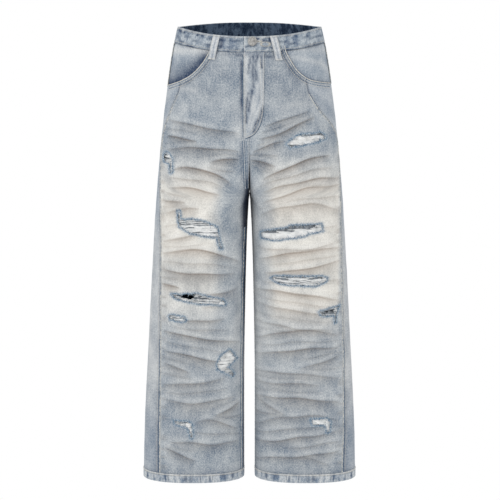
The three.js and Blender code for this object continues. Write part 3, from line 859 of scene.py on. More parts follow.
for hand, side in SIDES.items():
    cut = Cut(hand, -1.0, lambda drop: along(OUTSEAM[hand], drop) - SEAM_TURN, PANEL_DROPS)
    holes = list(torn_edges[hand].values())
    mouth_hole = scoop_of(hand)
    piece = lay_cloth(
        f"front_{side}_cloth", cut, FRONT_GRID, 0, front_shade, [leg_denim, shaded_inside_denim], CLOTH,
        {"holes": holes + [mouth_hole]},
    )
    sew(piece, ["front_" + side], "hung")

# ---------- yarns in the torn places ----------
# Where the blue warp has broken away, the undyed cotton weft is left: rows of soft white yarn that
# run across behind each hole, held in the cloth at both ends, with bare gaps in the widest holes.
# A frayed fringe of blue and white ends stands round every edge.
YARN_RADIUS, YARN_PITCH, YARN_HELD = 0.55, 0.95, 5
# Where the yarns are gone too, as (x, z) outlines, and where they have fallen back and are drawn in
# grey as painted shade, as (x from, x to, z from, z to) with the share of the other rows that has.
BARE = {
    -1: {
        "hip": [[(-188, -276), (-183, -277), (-183, -282), (-188, -282)]],
        "knee": [[(-164, -586), (-146, -581), (-118, -578), (-121, -590), (-129, -597), (-148, -592)]],
        "shin": [[(-56, -728), (-52, -728), (-52, -731)], [(-46, -738), (-43, -738), (-43, -741)]],
    },
    1: {
        "outer_knee": [
            [(167, -625), (176, -624), (174, -630)], [(179, -622), (189, -621), (186, -627)],
        ],
    },
}
SHADED = {
    -1: {
        "thigh": ([(-100, -84, -441, -439.5), (-140, -118, -436, -434.5)], 0.24),
        "knee": ([(-108, -84, -596, -592), (-92, -64, -603, -600.5), (-120, -108, -600, -584)], 0.34),
        "shin": ([(-66, -52, -741, -738.5), (-52, -40, -769, -766)], 0.18),
        "below_knee": ([(-172, -150, -640, -638.5)], 0.25),
        "ankle": ([(-160, -138, -881, -879)], 0.15),
        "hip": ([(-186, -176, -288, -285)], 0.1),
    },
    1: {
        "hip": ([(118, 162, -235, -226), (86, 100, -256, -253)], 0.06),
        "thigh": ([(27, 60, -448, -439), (56, 92, -444, -428), (88, 143, -438, -425)], 0.05),
        "knee": (
            [
                (50, 85, -552, -548), (80, 125, -548, -544.5), (100, 140, -556, -553.5),
                (128, 160, -550.5, -547), (60, 95, -560, -557.5), (140, 160, -557, -555),
            ],
            0.26,
        ),
        "outer_knee": ([(160, 192, -632, -620)], 0.3),
        "ankle": ([(150, 172, -880, -878.5)], 0.15),
    },
}
# One thread hangs loose beside the small hole below the right knee, as (x, z, lift).
LOOSE_THREAD = [
    (-176, -632, -1.5), (-181, -636, 0.6), (-182.5, -643, 1.2), (-180, -650, 1.2), (-176, -656, 0.9),
]


def turn_at(out, drop, in_front=True):
    """The form's turn at a distance out from the centre, in front or behind."""
    near = np.full(np.shape(out), -1.0 if in_front else 1.0)
    far = np.zeros(np.shape(out))
    for _ in range(20):
        middle = (near + far) / 2
        short = form(middle, drop)[..., 0] < out
        near = np.where(short, middle, near)
        far = np.where(short, far, middle)
    return (near + far) / 2


def on_halves(x, turn, drop, lift):
    """Places and normals on the creased cloth of both halves; x says which half each one is on."""
    places, normals = np.zeros(x.shape + (3,)), np.zeros(x.shape + (3,))
    for hand in (-1, 1):
        mine = (x < 0) == (hand < 0)
        if mine.any():
            places[mine], normals[mine] = cloth(hand, turn[mine], drop[mine], lift[mine])[:2]
    return places, normals


def spot(x, z, lift=0.0, in_front=True):
    """Places and normals on the creased cloth at each x and z."""
    x, z, lift = (np.array(v, float) for v in np.broadcast_arrays(x, z, lift))
    drop = -z
    for _ in range(3):
        turn = turn_at(np.abs(x), drop, in_front)
        drop = np.clip(drop + form(turn, drop)[..., 2] - z, 0, SIDE_LENGTH)
    return on_halves(x, turn, drop, lift)


def strands(name, lines, material, radius, thin_ends=0.6, nodes=()):
    """Many yarns as one piece. Each line is an array of places in mm."""
    curve = bpy.data.curves.new(name, "CURVE")
    curve.dimensions = "3D"
    curve.bevel_depth = radius * MM
    curve.bevel_resolution = 1
    curve.use_fill_caps = True
    for line in lines:
        spline = curve.splines.new("POLY")
        spline.points.add(len(line) - 1)
        fourth = np.ones((len(line), 1))
        spline.points.foreach_set("co", np.hstack([line * MM, fourth]).ravel())
        widths = np.ones(len(line))
        widths[[0, -1]] = thin_ends
        spline.points.foreach_set("radius", widths)
        spline.use_smooth = True
    drawn = bpy.data.objects.new(name + "_path", curve)
    mesh = bpy.data.meshes.new_from_object(drawn)
    bpy.data.objects.remove(drawn)
    mesh.name = name
    mesh.materials.clear()
    mesh.materials.append(material)
    piece = bpy.data.objects.new(name, mesh)
    scene.collection.objects.link(piece)
    sew(piece, nodes)


def yarn(name, dark, light, patches):
    """Spun cotton: soft, matt, and uneven in colour along its length."""
    made = new_material(name)
    tree = made.node_tree
    at = put(tree, "TexCoord", None, 3)
    patch = span_of(tree, noise_of(tree, at, patches), 0.38, 0.62)
    twist = span_of(tree, noise_of(tree, at, 2600, detail=1.0), 0.3, 0.7)
    fluff = put(tree, "Bump", {"Height": twist, "Strength": 0.4, "Distance": 0.0003})
    colour = mixed(tree, patch, dark, light)
    return coat(made, {
        "Base Color": colour, "Normal": fluff, "Roughness": 0.95, "Specular IOR Level": 0.15,
    })


white_yarn = yarn("white_weft_yarn", srgb(234, 236, 236), srgb(254, 254, 253), 160.0)
# The same weft yarn in grey: painted shade for rows lying deeper in the holes.
shaded_yarn = yarn("shaded_weft_yarn", srgb(120, 126, 133), srgb(170, 175, 180), 160.0)
frayed_yarn = yarn("frayed_yarn", srgb(92, 124, 152), srgb(214, 221, 226), 300.0)
topstitch = yarn("topstitch_thread", srgb(186, 184, 178), srgb(226, 224, 217), 300.0)


def spans_inside(outline, z):
    """The stretches of x at height z that are inside a closed outline."""
    crossings = []
    for (x0, z0), (x1, z1) in zip(outline, np.roll(outline, -1, axis=0)):
        if (z0 > z) != (z1 > z):
            crossings.append(x0 + (z - z0) * (x1 - x0) / (z1 - z0))
    crossings.sort()
    return list(zip(crossings[::2], crossings[1::2]))


def within(stretches, low, high):
    """The parts of stretches of x that lie between two limits."""
    return [(max(a, low), min(b, high)) for a, b in stretches if a < high and b > low]


def without(stretches, low, high):
    """Stretches of x with one stretch taken out of them."""
    left = [(a, min(b, low)) for a, b in stretches if a < low]
    right = [(max(a, high), b) for a, b in stretches if b > high]
    return left + right


chance = np.random.default_rng(21)
for hand, side in SIDES.items():
    for name, outline in RIPS[hand].items():
        outline = np.array(outline, float)
        bares = BARE[hand].get(name, [])
        shady, share = SHADED[hand].get(name, ([], 0.0))
        drawn = {"yarns": [], "shaded_yarns": []}
        foot, top = outline[:, 1].min(), outline[:, 1].max()
        for z in np.arange(foot - 3, top + 3, YARN_PITCH):
            found = spans_inside(outline, np.clip(z, foot + 0.5, top - 0.5))
            white, grey = [(a - YARN_HELD, b + YARN_HELD) for a, b in found], []
            for bare in bares:
                for x0, x1 in spans_inside(bare, z):
                    white = without(white, x0 + chance.normal(0, 1.2), x1 + chance.normal(0, 1.2))
            for x0, x1, z0, z1 in shady:
                if z0 < z < z1:
                    low, high = x0 + chance.normal(0, 4), x1 + chance.normal(0, 4)
                    grey += within(white, low, high)
                    white = without(white, low, high)
            if chance.random() < share:
                grey, white = grey + white, []
            for group, stretches, sink in (("yarns", white, 0.0), ("shaded_yarns", grey, 1.6)):
                for x0, x1 in stretches:
                    if x1 - x0 < 4:
                        continue
                    xs = np.linspace(x0, x1, max(int((x1 - x0) / 3.2), 3))
                    slack = np.sin(np.pi * ((xs - x0) / (x1 - x0))) ** 0.7
                    crumple = np.sin(xs / 9 + z / 6) + 0.45 * np.sin(xs / 4.3 - z / 5 + 1)
                    fold = 1.5 * np.sin(xs / 5.5 + z / 4.2) + 0.7 * np.sin(xs / 3.1 - z / 7)
                    lift = -2.0 - sink + (fold - 1.0) * slack - chance.uniform(0, 0.3)
                    zs = z + crumple * slack + chance.normal(0, 0.12, xs.shape)
                    drawn[group].append(np.stack([xs, zs, np.minimum(lift, -1.5)], -1))
                    drawn[group].append(np.stack([xs, zs + YARN_PITCH / 2, lift - 1.1], -1))
        if (hand, name) == (-1, "below_knee"):
            drawn["yarns"].append(np.array(LOOSE_THREAD))
        for group, material in (("yarns", white_yarn), ("shaded_yarns", shaded_yarn)):
            lines = drawn[group]
            if not lines:
                continue
            places = spot(*np.concatenate(lines).T)[0]
            cuts = np.cumsum([len(line) for line in lines])[:-1]
            strands(
                f"{group}_{name}_{side}", np.split(places, cuts), material, YARN_RADIUS,
                nodes=[f"weft_{name}_{side}"] if group == "yarns" else [],
            )

    ends = []
    for outline in torn_edges[hand].values():
        following = np.roll(outline, -1, axis=0)
        middle = (outline + following) / 2
        steps = following - outline
        area = np.sum(outline[:, 0] * following[:, 1] - following[:, 0] * outline[:, 1])
        inwards = np.stack([-steps[:, 1], steps[:, 0]], -1) * np.sign(area)
        inwards /= np.linalg.norm(inwards, axis=1, keepdims=True)
        for k in range(2 * len(outline)):
            base = middle[k // 2] + steps[k // 2] * chance.uniform(-0.5, 0.5)
            to = inwards[k // 2] + chance.normal(0, 0.45, 2)
            reach = chance.choice([chance.uniform(0.8, 2.2), chance.uniform(2.2, 5.0)], p=[0.75, 0.25])
            root = base - inwards[k // 2] * chance.uniform(0.8, 2.4)
            tip = base + to * reach
            lifts = (0.1, 0.55 + chance.uniform(-0.2, 0.3), chance.uniform(-1.4, 0.4))
            for point, lift in zip((root, base, tip), lifts):
                ends.append((point[0], point[1], lift))
    places = spot(*np.array(ends).T)[0].reshape(-1, 3, 3)
    strands("frayed_edges_" + side, places, frayed_yarn, radius=0.56, thin_ends=0.7)

# ---------- pocket facings and mouths ----------
# Behind each scooped mouth lies the facing, a shield of the same denim on the pocket bag that
# joins the back at the side seam. It carries painted shade under the mouth's edge. The mouth is
# turned under, worn white along its rolled edge, and topstitched twice.
facing_denim = denim("facing_denim", srgb(106, 126, 148), srgb(205, 211, 215))
# Dark groove lines beside ridges and edges: held indigo and painted shadow.
groove_dye_and_shadow_yarn = yarn("held_indigo_and_painted_shadow_groove", srgb(58, 82, 112), srgb(122, 144, 166), 260.0)


def offset_line(line, away):
    """A line moved sideways, to its right when away is positive."""
    steps = np.gradient(line, axis=0)
    sideways = np.stack([steps[:, 1], -steps[:, 0]], -1)
    return line + sideways / np.linalg.norm(sideways, axis=1, keepdims=True) * away


def stitches(lines, pitch=3.7, share=0.74):
    """Short raised stitches along lines of places and normals in mm."""
    made = []
    for places, normals in lines:
        steps = np.linalg.norm(np.diff(places, axis=0), axis=1)
        length = np.concatenate([[0], np.cumsum(steps)])
        half = pitch * share / 2
        for middle in np.arange(pitch / 2, length[-1] - pitch / 2, pitch):
            at = middle + np.array([-half, -half * 0.6, half * 0.6, half])
            path = np.stack([np.interp(at, length, places[:, k]) for k in range(3)], -1)
            up = np.array([np.interp(middle, length, normals[:, k]) for k in range(3)])
            made.append(path + up * np.array([-0.35, 0.12, 0.12, -0.35])[:, None])
    return made


# Painted shade under the mouth's edge and faint painted crease shade, with paler streaks above.
def facing_shade(x, y, z, drop, across, width, dark, pale):
    away = distance_to(mouth, x, z)[0]
    away = np.where(away > 900, 60, away)
    if hand < 0:
        ink = 1.15 * np.exp(-((away / 17) ** 1.3)) + 0.22 * bell(z + 88, 20)
        glow = 0.6 * stroke([(-90, -50), (-140, -52), (-175, -50)], x, z, 10)
    else:
        ink = 0.85 * fading(away, 2.2) + 0.08 * fading(away, 20) + 0.08
        glow = 0.35 * stroke([(92, -66), (125, -72), (155, -80), (180, -98)], x, z, 7)
        glow += 0.3 * stroke([(100, -50), (165, -50)], x, z, 8)
    return shades_of(x, ink=ink + 0.4 * fading(drop - 34, 3), glow=glow, crease=0.3 * dark)


MOUTH_END_X, STITCHES_END_X = 181.5, 179
for hand, side in SIDES.items():
    mouth = scoop_of(hand)
    cut = Cut(hand, -0.8, 0.02, (34.3, 146))
    piece = lay_cloth(
        f"pocket_facing_{side}_cloth", cut, (60, 50), -1.8, facing_shade,
        [facing_denim, shaded_inside_denim], CLOTH, {"keeps": [scoop_of(hand, 10)]},
    )
    sew(piece, ["pocket_facing_" + side], "laid")

    edge = smooth_line(MOUTH[hand], 70)
    edge = edge[np.abs(edge[:, 0]) < MOUTH_END_X]

    def beside(away, lift, end_x=STITCHES_END_X):
        """Places and normals on the front along the mouth's edge, at a distance from it."""
        line = offset_line(edge, away * hand)
        return spot(*line[np.abs(line[:, 0]) < end_x].T, lift)

    strands("rolled_mouth_" + side, [spot(*edge.T, -0.3)[0]], topstitch, radius=1.15, thin_ends=1.0)
    rows = [beside(4.5, 0.15), beside(10.0, 0.15)]
    strands("mouth_stitches_" + side, stitches(rows), topstitch, radius=0.5)
    # Blue specks between the rows, and a painted shadow line under the rolled edge.
    specks = stitches([beside(7.4, 0.1)], 4.6, 0.5) + [beside(1.9, -0.35, FAR)[0]]
    strands("mouth_grooves_" + side, specks, groove_dye_and_shadow_yarn, radius=0.75)

# ---------- fly ----------
# The fly front: a folded shield of denim over the zip, free along its edge and held by a double
# J-shaped row of stitching. Washing has left long blue streaks between its worn vertical folds.
FLY_CURVE = [(31, -10), (31, -90), (30, -165), (28, -190), (21, -213), (9, -230), (-10, -239)]
FLY = [(-11, 60), (31, 60)] + list(map(tuple, smooth_line(FLY_CURVE, 40))) + [(-11, -239)]
FLY_BLUE = [
    [(3, -67), (-2, -88), (-3, -100)], [(18, -64), (12, -80), (13, -98), (15, -113)],
    [(24, -67), (26, -88)], [(-3, -143), (-5, -161), (-8, -180), (-7, -204)],
    [(6, -137), (1, -161), (-2, -180)], [(29, -176), (24, -192), (12, -210), (10, -225)],
    [(27, -192), (25, -207)], [(8, -66), (7, -100), (9, -130)],
]
FLY_PALE = [
    [(21, -70), (22, -95), (26, -135), (26, -160), (19, -176), (7, -200), (3, -219)],
    [(-5, -70), (-6, -110), (-5, -150)], [(9, -150), (5, -185), (-3, -215)],
    [(18, -125), (14, -160), (6, -190)],
]
FLY_LEFT, FLY_WIDTH, FLY_TOP, FLY_LENGTH = -11, 42, 34.3, 200
fly_denim = denim("fly_denim", srgb(116, 132, 152), srgb(206, 211, 214))


def fly_place(s, t, lift=0.0):
    x, drop = FLY_LEFT + FLY_WIDTH * s, FLY_TOP + FLY_LENGTH * t
    return on_halves(x, turn_at(np.abs(x), drop), drop, lift + np.zeros(x.shape))[0]


bm = flat_grid(30, 100)
trim(bm, fly_place, keeps=[FLY])
s, t = plan_of(bm)
x, _, z = fly_place(s, t).T
blue = np.max([stroke(line, x, z, 3.6) for line in FLY_BLUE], axis=0)
blue *= 0.75 + 0.25 * half_waves(z + 2 * x, 3, 7)
worn = np.max([stroke(line, x, z, 4.0) for line in FLY_PALE], axis=0)
from_edge = distance_to(FLY, x, z)[0]
places = fly_place(s, t, 1.8 + 0.5 * worn - 0.5 * blue)
snap(bm, places, keeps=[FLY])
ink = 0.85 * blue + 0.16 * bell(x - 24, 7) * (1 - worn) + 0.35 * bell(z + 58, 7.746)
glow = (0.04 + 0.42 * worn) * (1 - blue) + 0.7 * bell(from_edge, 1.2)
shades = shades_of(x, ink=ink, glow=glow)
flat = np.stack([FLY_WIDTH * s, -FLY_LENGTH * t], -1)
fly = finish_cloth("fly_cloth", bm, places, flat, shades, [fly_denim, shaded_inside_denim], 1.5, 1)
sew(fly, ["fly"], "laid")

curve = smooth_line(FLY_CURVE, 90)[22:]
rows = [spot(*offset_line(curve, away).T, 1.95) for away in (2.2, 7.5)]
rows.append(spot(-8.0, np.linspace(-60, -234, 60), 1.95))
strands("fly_stitches", stitches(rows), topstitch, radius=0.45)
# Its folded edge is worn white; below it the centre seam runs on as two ridges with blue between.
# The grooves are dark lines of painted shadow and held dye.
fold_z = np.linspace(-62, -236, 90)
seam_z = np.linspace(-244, -350, 60)
drift = np.linspace(0, 3, 60)
ridges = [spot(-12.0, fold_z, 1.0)[0], spot(-12.4 + drift, seam_z, 0.2)[0]]
ridges.append(spot(-3.8 + 0.3 * drift, seam_z, -0.1)[0])
worn_edge = yarn("worn_edge", srgb(166, 174, 182), srgb(226, 228, 227), 240.0)
strands("fly_folded_edge", ridges, worn_edge, radius=0.75, thin_ends=1.0)
grooves = [spot(-14.0, fold_z, 0.1)[0], spot(-14.6 + drift, seam_z, 0.1)[0]]
grooves += [spot(-10.4 + drift, seam_z, 0.1)[0], spot(-5.8 + 0.6 * drift, seam_z, 0.1)[0]]
grooves.append(spot(*offset_line(curve, -1.0)[36:].T, 0.4)[0])
strands("fly_grooves", grooves, groove_dye_and_shadow_yarn, radius=0.7, thin_ends=1.0)

# ---------- backs ----------
# The two back panels, each cut from the yoke's seam to the hem and wrapping forward at the hip to
# the outseam. The same washed twill, smooth and faded over the seat, folded behind the knees.
YOKE_CENTRE_Z, YOKE_SIDE_Z, YOKE_WIDTH = -100, -76, 170
BACK_GRID = (64, 330)
seat_denim = denim("seat_denim", srgb(112, 129, 149), srgb(204, 209, 213))


def yoke_line(hand, down):
    """The yoke's seam from the centre back outwards, moved down."""
    centre, side = YOKE_CENTRE_Z - down, YOKE_SIDE_Z - down
    return [(-3 * hand, centre), (hand * YOKE_WIDTH, side), (hand * FAR, side)]


def back_shade(x, y, z, drop, across, width, dark, pale):
    strip = ease((12 - y) / 10)
    ink = 0.75 * fading(across, 2.2) + 0.30 * fading(1000 - drop, 9) + 0.08 * ease((drop - 690) / 180)
    ink += 0.35 * fading(width - across, 14) * ease((drop - 200) / 100)
    ink += 0.30 * bell(across, 12) * ease((drop - 780) / 120)
    seat = bell(drop - 230, 95) * ease((across - 60) / 60)
    thigh = ease((drop - 380) / 120) * (1 - ease((drop - 760) / 180))
    cream = 0.45 * seat + 0.30 * strip * thigh + 0.25 * thigh * ease((y - 20) / 40)
    # The crease shade is painted, and so are the highlights on the crease rolls.
    glow = 0.05 * strip * (1 - ease((drop - 640) / 220)) + 0.25 * pale
    return shades_of(x, cream=cream, ink=ink, crease=0.65 * dark, glow=glow)


for hand, side in SIDES.items():
    cut = Cut(hand, lambda drop: along(OUTSEAM[hand], drop) + SEAM_TURN, 1.0, PANEL_DROPS)
    below = yoke_line(hand, GAP) + [(hand * FAR, -1100), (-3 * hand, -1100)]
    piece = lay_cloth(
        f"back_{side}_cloth", cut, BACK_GRID, 0, back_shade, [seat_denim, shaded_inside_denim], CLOTH,
        {"holes": [scoop_of(hand)], "limit_y": SIDE_SEAM_Y, "keeps": [below]},
    )
    sew(piece, ["back_" + side], "hung")

# ---------- yokes ----------
# The yoke: a shallow shaped panel across the top of each back that gives the seat its curve,
# felled to the back panel below it with two rows of stitching.


def yoke_shade(x, y, z, drop, across, width, dark, pale):
    below = distance_to(yoke_below, x, z)[0]
    ink = 0.5 * fading(drop - 34, 3) + 0.35 * bell(below, 3) + 0.1
    return shades_of(x, ink=ink, glow=0.5 * bell(below - 1, 1.4), cream=0.15)


for hand, side in SIDES.items():
    cut = Cut(hand, -0.08, 1.0, (34.3, 116))
    yoke_below = yoke_line(hand, 0) + [(hand * FAR, FAR), (-3 * hand, FAR)]
    piece = lay_cloth(
        f"yoke_{side}_cloth", cut, (70, 30), 0, yoke_shade, [seat_denim, shaded_inside_denim], CLOTH,
        {"holes": [scoop_of(hand)], "limit_y": SIDE_SEAM_Y, "keeps": [yoke_below]},
    )
    sew(piece, ["yoke_" + side], "laid")

# ---------- back pockets ----------
# Two plain patch pockets with a pointed foot: one layer of denim turned under all round and sewn
# down by a double row at the sides and foot, with a hemmed mouth. Their edges are worn pale.
POCKET = [(30, -122), (158, -114), (160, -246), (98, -268), (36, -252)]
POCKET_LEFT, POCKET_WIDTH, POCKET_TOP, POCKET_LENGTH = 28, 134, -112, 158
for hand, side in SIDES.items():
    outline = [(hand * x, z) for x, z in POCKET]

    def pocket_place(s, t, lift=0.0):
        x, z = POCKET_LEFT + POCKET_WIDTH * s, POCKET_TOP - POCKET_LENGTH * t
        return spot(hand * x, z, lift, in_front=False)[0]

    bm = flat_grid(44, 50)
    trim(bm, pocket_place, keeps=[outline])
    s, t = plan_of(bm)
    x, _, z = pocket_place(s, t).T
    away = np.minimum(distance_to(outline, x, z)[0], 60)
    places = pocket_place(s, t, 1.8 + 1.6 * ease(away / 35))
    snap(bm, places, keeps=[outline])
    glow = 0.7 * bell(away, 1.6) + 0.25 * bell(z + 180, 60) * ease(away / 30)
    shades = shades_of(x, ink=0.45 * bell(away - 5, 2.5) + 0.25 * bell(z + 133, 3), glow=glow)
    flat = np.stack([POCKET_WIDTH * s, -POCKET_LENGTH * t], -1)
    # Behind, x runs the other way across the grid.
    piece = finish_cloth(
        f"back_pocket_{side}_cloth", bm, places, flat, shades, [seat_denim, shaded_inside_denim], 1.5, -hand
    )
    sew(piece, ["back_pocket_" + side], "laid")

# ---------- seams ----------
# The long seams are felled: the outseams show as one raised worn ridge with the stitching beside
# it, and the seat, yokes and pockets are topstitched twice in the same off-white thread.
seam_ridge = yarn("seam_ridge_denim", srgb(150, 158, 166), srgb(224, 222, 214), 220.0)
for hand, side in SIDES.items():
    drops = np.linspace(140 if hand < 0 else 138, 999, 260)
    ridge_turn = along(OUTSEAM[hand], drops)
    inseam = cloth(hand, np.full(200, -1.0), np.linspace(366, 999, 200), -0.2)[0]
    upper = np.linspace(35, 131 if hand < 0 else 124, 40)
    side_turn = -turn_at(along(SIDE, upper) - 0.35, upper, False)
    ridges = [cloth(hand, ridge_turn, drops, 0.1)[0], inseam, cloth(hand, side_turn, upper, 0.0)[0]]
    # The dark grooves beside the ridges: painted shadow lines with held dye.
    grooves = []
    for stretch in (drops < 330, drops > 690):
        grooves.append(cloth(hand, ridge_turn[stretch] + 0.0075, drops[stretch], 0.1)[0])
    if hand < 0:
        # The right side carries the centre-back seam and the ridge in front of its inseam.
        ridges.append(cloth(hand, np.full(120, 1.0), np.linspace(36, 361, 120), -0.1)[0])
        low = np.linspace(440, 999, 200)
        ridges.append(cloth(hand, turn_at(along(INNER, low) + 6.2, low), low, 0.1)[0])
        for beside in (3.6, 8.2):
            grooves.append(cloth(hand, turn_at(along(INNER, low) + beside, low), low, 0.1)[0])
    strands("seam_grooves_" + side, grooves, groove_dye_and_shadow_yarn, radius=0.8, thin_ends=1.0)
    strands("felled_seams_" + side, ridges, seam_ridge, radius=1.1, thin_ends=1.0)
    rows = [cloth(hand, ridge_turn + 0.026, drops, 0.15)[:2]]
    share = np.linspace(0, 1, 60)[2:]
    yoke_z = YOKE_CENTRE_Z + share * (YOKE_SIDE_Z - YOKE_CENTRE_Z)
    for down in (2.5, 8.0):
        rows.append(spot(hand * share * YOKE_WIDTH, yoke_z - down, 0.15, False))
    pocket_line = np.array(POCKET + POCKET[:1], float)
    centre = np.array([96.0, -185.0])
    for inset in (2.5, 8.0):
        ring = centre + (pocket_line - centre) * (1 - inset / 62)
        path = np.concatenate([np.linspace(a, b, 30) for a, b in zip(ring, ring[1:])])
        rows.append(spot(hand * path[:, 0], path[:, 1], 2.0 + 0.1 * inset, False))
    mouth_x = np.linspace(34, 156, 50)
    rows.append(spot(hand * mouth_x, -134 + 0.05 * (mouth_x - 34), 2.9, False))
    rows.append(cloth(hand, np.full(120, 0.985), np.linspace(40, 355, 120), 0.15)[:2])
    strands("seat_stitches_" + side, stitches(rows), topstitch, radius=0.42)

# ---------- waistband ----------
# A straight band of denim folded double round the top, sewn to the panels by its lower edge and
# edge-stitched above. Its left end laps over its right one at the centre front, with a keyhole
# buttonhole worked in it. Blotched blue where the thick seams held their dye.
BAND_HEIGHT = 34
BAND_PROUD = 0.7
BAND_THICKNESS = 3
OVERLAP_X, UNDERLAP_X = -11, 34
BUTTON_X, BUTTON_DROP = 6, 11
band_denim = denim("band_denim", srgb(72, 96, 126), srgb(190, 199, 205), 0.35)
# The band's inside, painted dark to stand for the shade inside the waist.
band_shaded_inside = denim("band_shaded_inside_denim", srgb(24, 42, 66), srgb(96, 114, 136), 0.8, shades=())


def band_turn(x):
    return math.copysign(1 + float(turn_at(np.array(abs(x)), np.array(0.0))), x)


overlap_turn, underlap_turn = band_turn(OVERLAP_X), 4 + band_turn(UNDERLAP_X)
button_turn = band_turn(BUTTON_X)


def band_at(turn, drop, lift=0.0):
    """Round the band, turn is 0 at the centre front, 1 at the left side, 2 behind, 3 at the right."""
    turn, drop, lift = (np.array(v, float) for v in np.broadcast_arrays(turn, drop, lift))
    t = (turn + 4) % 4
    places, normals = np.zeros(t.shape + (3,)), np.zeros(t.shape + (3,))
    for hand in (1, -1):
        mine = (t < 2) == (hand > 0)
        own = t[mine] - 1 if hand > 0 else 3 - t[mine]
        places[mine], normals[mine] = cloth(hand, own, drop[mine], lift[mine])[:2]
    return places, normals


step_start, step_end = underlap_turn - 0.2, 4 + 1.4 * overlap_turn
turns = np.linspace(overlap_turn, underlap_turn, 600)
ring = band_at(turns, 0.0)[0]
lengths = np.concatenate([[0], np.cumsum(np.linalg.norm(np.diff(ring, axis=0), axis=1))])
BAND_LENGTH = lengths[-1]


def band_place(s, t, lift=0.0):
    turn = np.interp(s * BAND_LENGTH, lengths, turns)
    step = (BAND_THICKNESS + GAP) * ease((turn - step_start) / (step_end - step_start))
    return band_at(turn, t * BAND_HEIGHT, lift - step)[0]


button_place, button_normal = band_at(np.array([button_turn]), BUTTON_DROP, BAND_PROUD)
bx, bz = button_place[0, 0], button_place[0, 2]
angles = np.linspace(0.33, 2 * np.pi - 0.33, 22)
keyhole = [(bx + 4 * math.cos(a), bz + 4 * math.sin(a)) for a in angles]
keyhole = [(bx + 20, bz + 1.3)] + keyhole + [(bx + 20, bz - 1.3)]
OVERLAP_SHARE = 0.3  # the part of the band's length that has the overlap and the keyhole


def at_front(s, t):
    """Only the overlap is cut: the rest of the band is out of the keyhole's reach."""
    places = band_place(s, t)
    places[s > OVERLAP_SHARE, 2] += 1000
    return places


bm = flat_grid(340, 18)
trim(bm, at_front, [keyhole])
s, t = plan_of(bm)
u, drop = s * BAND_LENGTH, t * BAND_HEIGHT
rope = np.sin(u / 2.3 + 3 * np.sin(u / 31) + drop / 3) * 0.5 + 0.5 * np.sin(u / 5.1 + drop / 6)
edges = bell(drop - 4.5, 3.5) + bell(drop - 30, 3.5)
lift = BAND_PROUD + 0.35 * rope * edges + 0.3 * np.sin(u / 17 + 1.3 * np.sin(drop / 9))
places = band_place(s, t, lift)
near_front = s < OVERLAP_SHARE
snapped = at_front(s, t)
snapped[near_front] = places[near_front]
snap(bm, snapped, [keyhole])
places[near_front] = snapped[near_front]
hole_away = np.where(near_front, distance_to(keyhole, places[:, 0], places[:, 2])[0], 99)
slant = np.sin(drop / 2.7 - u / 17 + 1.6 * np.sin(u / 31))
slant += 0.6 * np.sin(drop / 1.7 + u / 11 + 2 * np.sin(u / 19))
slant *= 0.6 + 0.4 * half_waves(u, 7, 12)
ink = 0.34 * np.clip(-rope, 0, 1) * edges + 0.62 * np.clip(slant, 0, 1)
ink += 0.5 * fading(BAND_HEIGHT - drop, 1.2) + 0.6 * bell(hole_away - 3.2, 1.2)
front_face = places[:, 1] < 0
dashes = np.clip(np.sin(u / 1.9) + 0.2, 0, 1) * bell(drop - 7, 2.2)
ink += 0.8 * dashes * ease((-90 - places[:, 0]) / 12) * front_face
# Painted shadow beside the loops.
for line in ([(-57, -24), (-61, -45)], [(43.5, -25), (46, -33)], [(23, -34), (30, -31), (40, -33)]):
    ink += 0.9 * stroke(line, places[:, 0], places[:, 2], 2.5) * front_face
glow = 0.5 * bell(drop - 1, 1.3) + 0.36 * np.clip(rope, 0, 1) * edges
glow += 0.6 * bell(hole_away - 1, 0.9) + 0.5 * bell(u, 1.4)
glow += 0.22 * bell(drop - 20, 8) * np.clip(0.5 - 0.5 * slant, 0, 1)
shades = shades_of(u, ink=ink, glow=glow)
flat = np.stack([u, -drop], -1)
band = finish_cloth(
    "waistband_cloth", bm, places, flat, shades, [band_denim, band_shaded_inside], BAND_THICKNESS, 1
)
rounding = band.modifiers.new("rounding", "BEVEL")
rounding.width = 0.9 * MM
rounding.segments = 2
rounding.limit_method = "ANGLE"
rounding.angle_limit = math.radians(60)
sew(band, ["waistband"], "folded")

turns_here = np.linspace(overlap_turn + 0.012, 4 + overlap_turn - 0.03, 420)
rows = [band_at(turns_here, drop, BAND_PROUD + 0.55) for drop in (3.2, 30.5)]
strands("waistband_stitches", stitches(rows), topstitch, radius=0.42)
# The buttonhole is worked all round with close thread.
corners = np.array(keyhole)
steps = [
    np.linspace(a, b, max(int(np.hypot(*(b - a)) / 0.9), 2))[:-1]
    for a, b in zip(corners, corners[1:])
]
path = np.concatenate(steps)
out = offset_line(path, -2.4)
near_edge = spot(*path.T, BAND_PROUD + 0.3)[0]
far_edge = spot(*out.T, BAND_PROUD + 0.4)[0]
over = spot(*((path + out) / 2).T, BAND_PROUD + 0.9)[0]
threads = list(np.stack([near_edge, over, far_edge], 1))
# Its far end is barred with an oval of the same thread.
for angle in np.linspace(0, 2 * np.pi, 34, endpoint=False):
    reach = np.array([0.66, 0.84, 1.02])
    x, z = 34 + 11.5 * reach * math.cos(angle), -39 + 5.5 * reach * math.sin(angle)
    threads.append(spot(x, z, BAND_PROUD + np.array([0.2, 0.7, 0.2]))[0])
strands("buttonhole_stitches", threads, topstitch, radius=0.45, thin_ends=0.9)

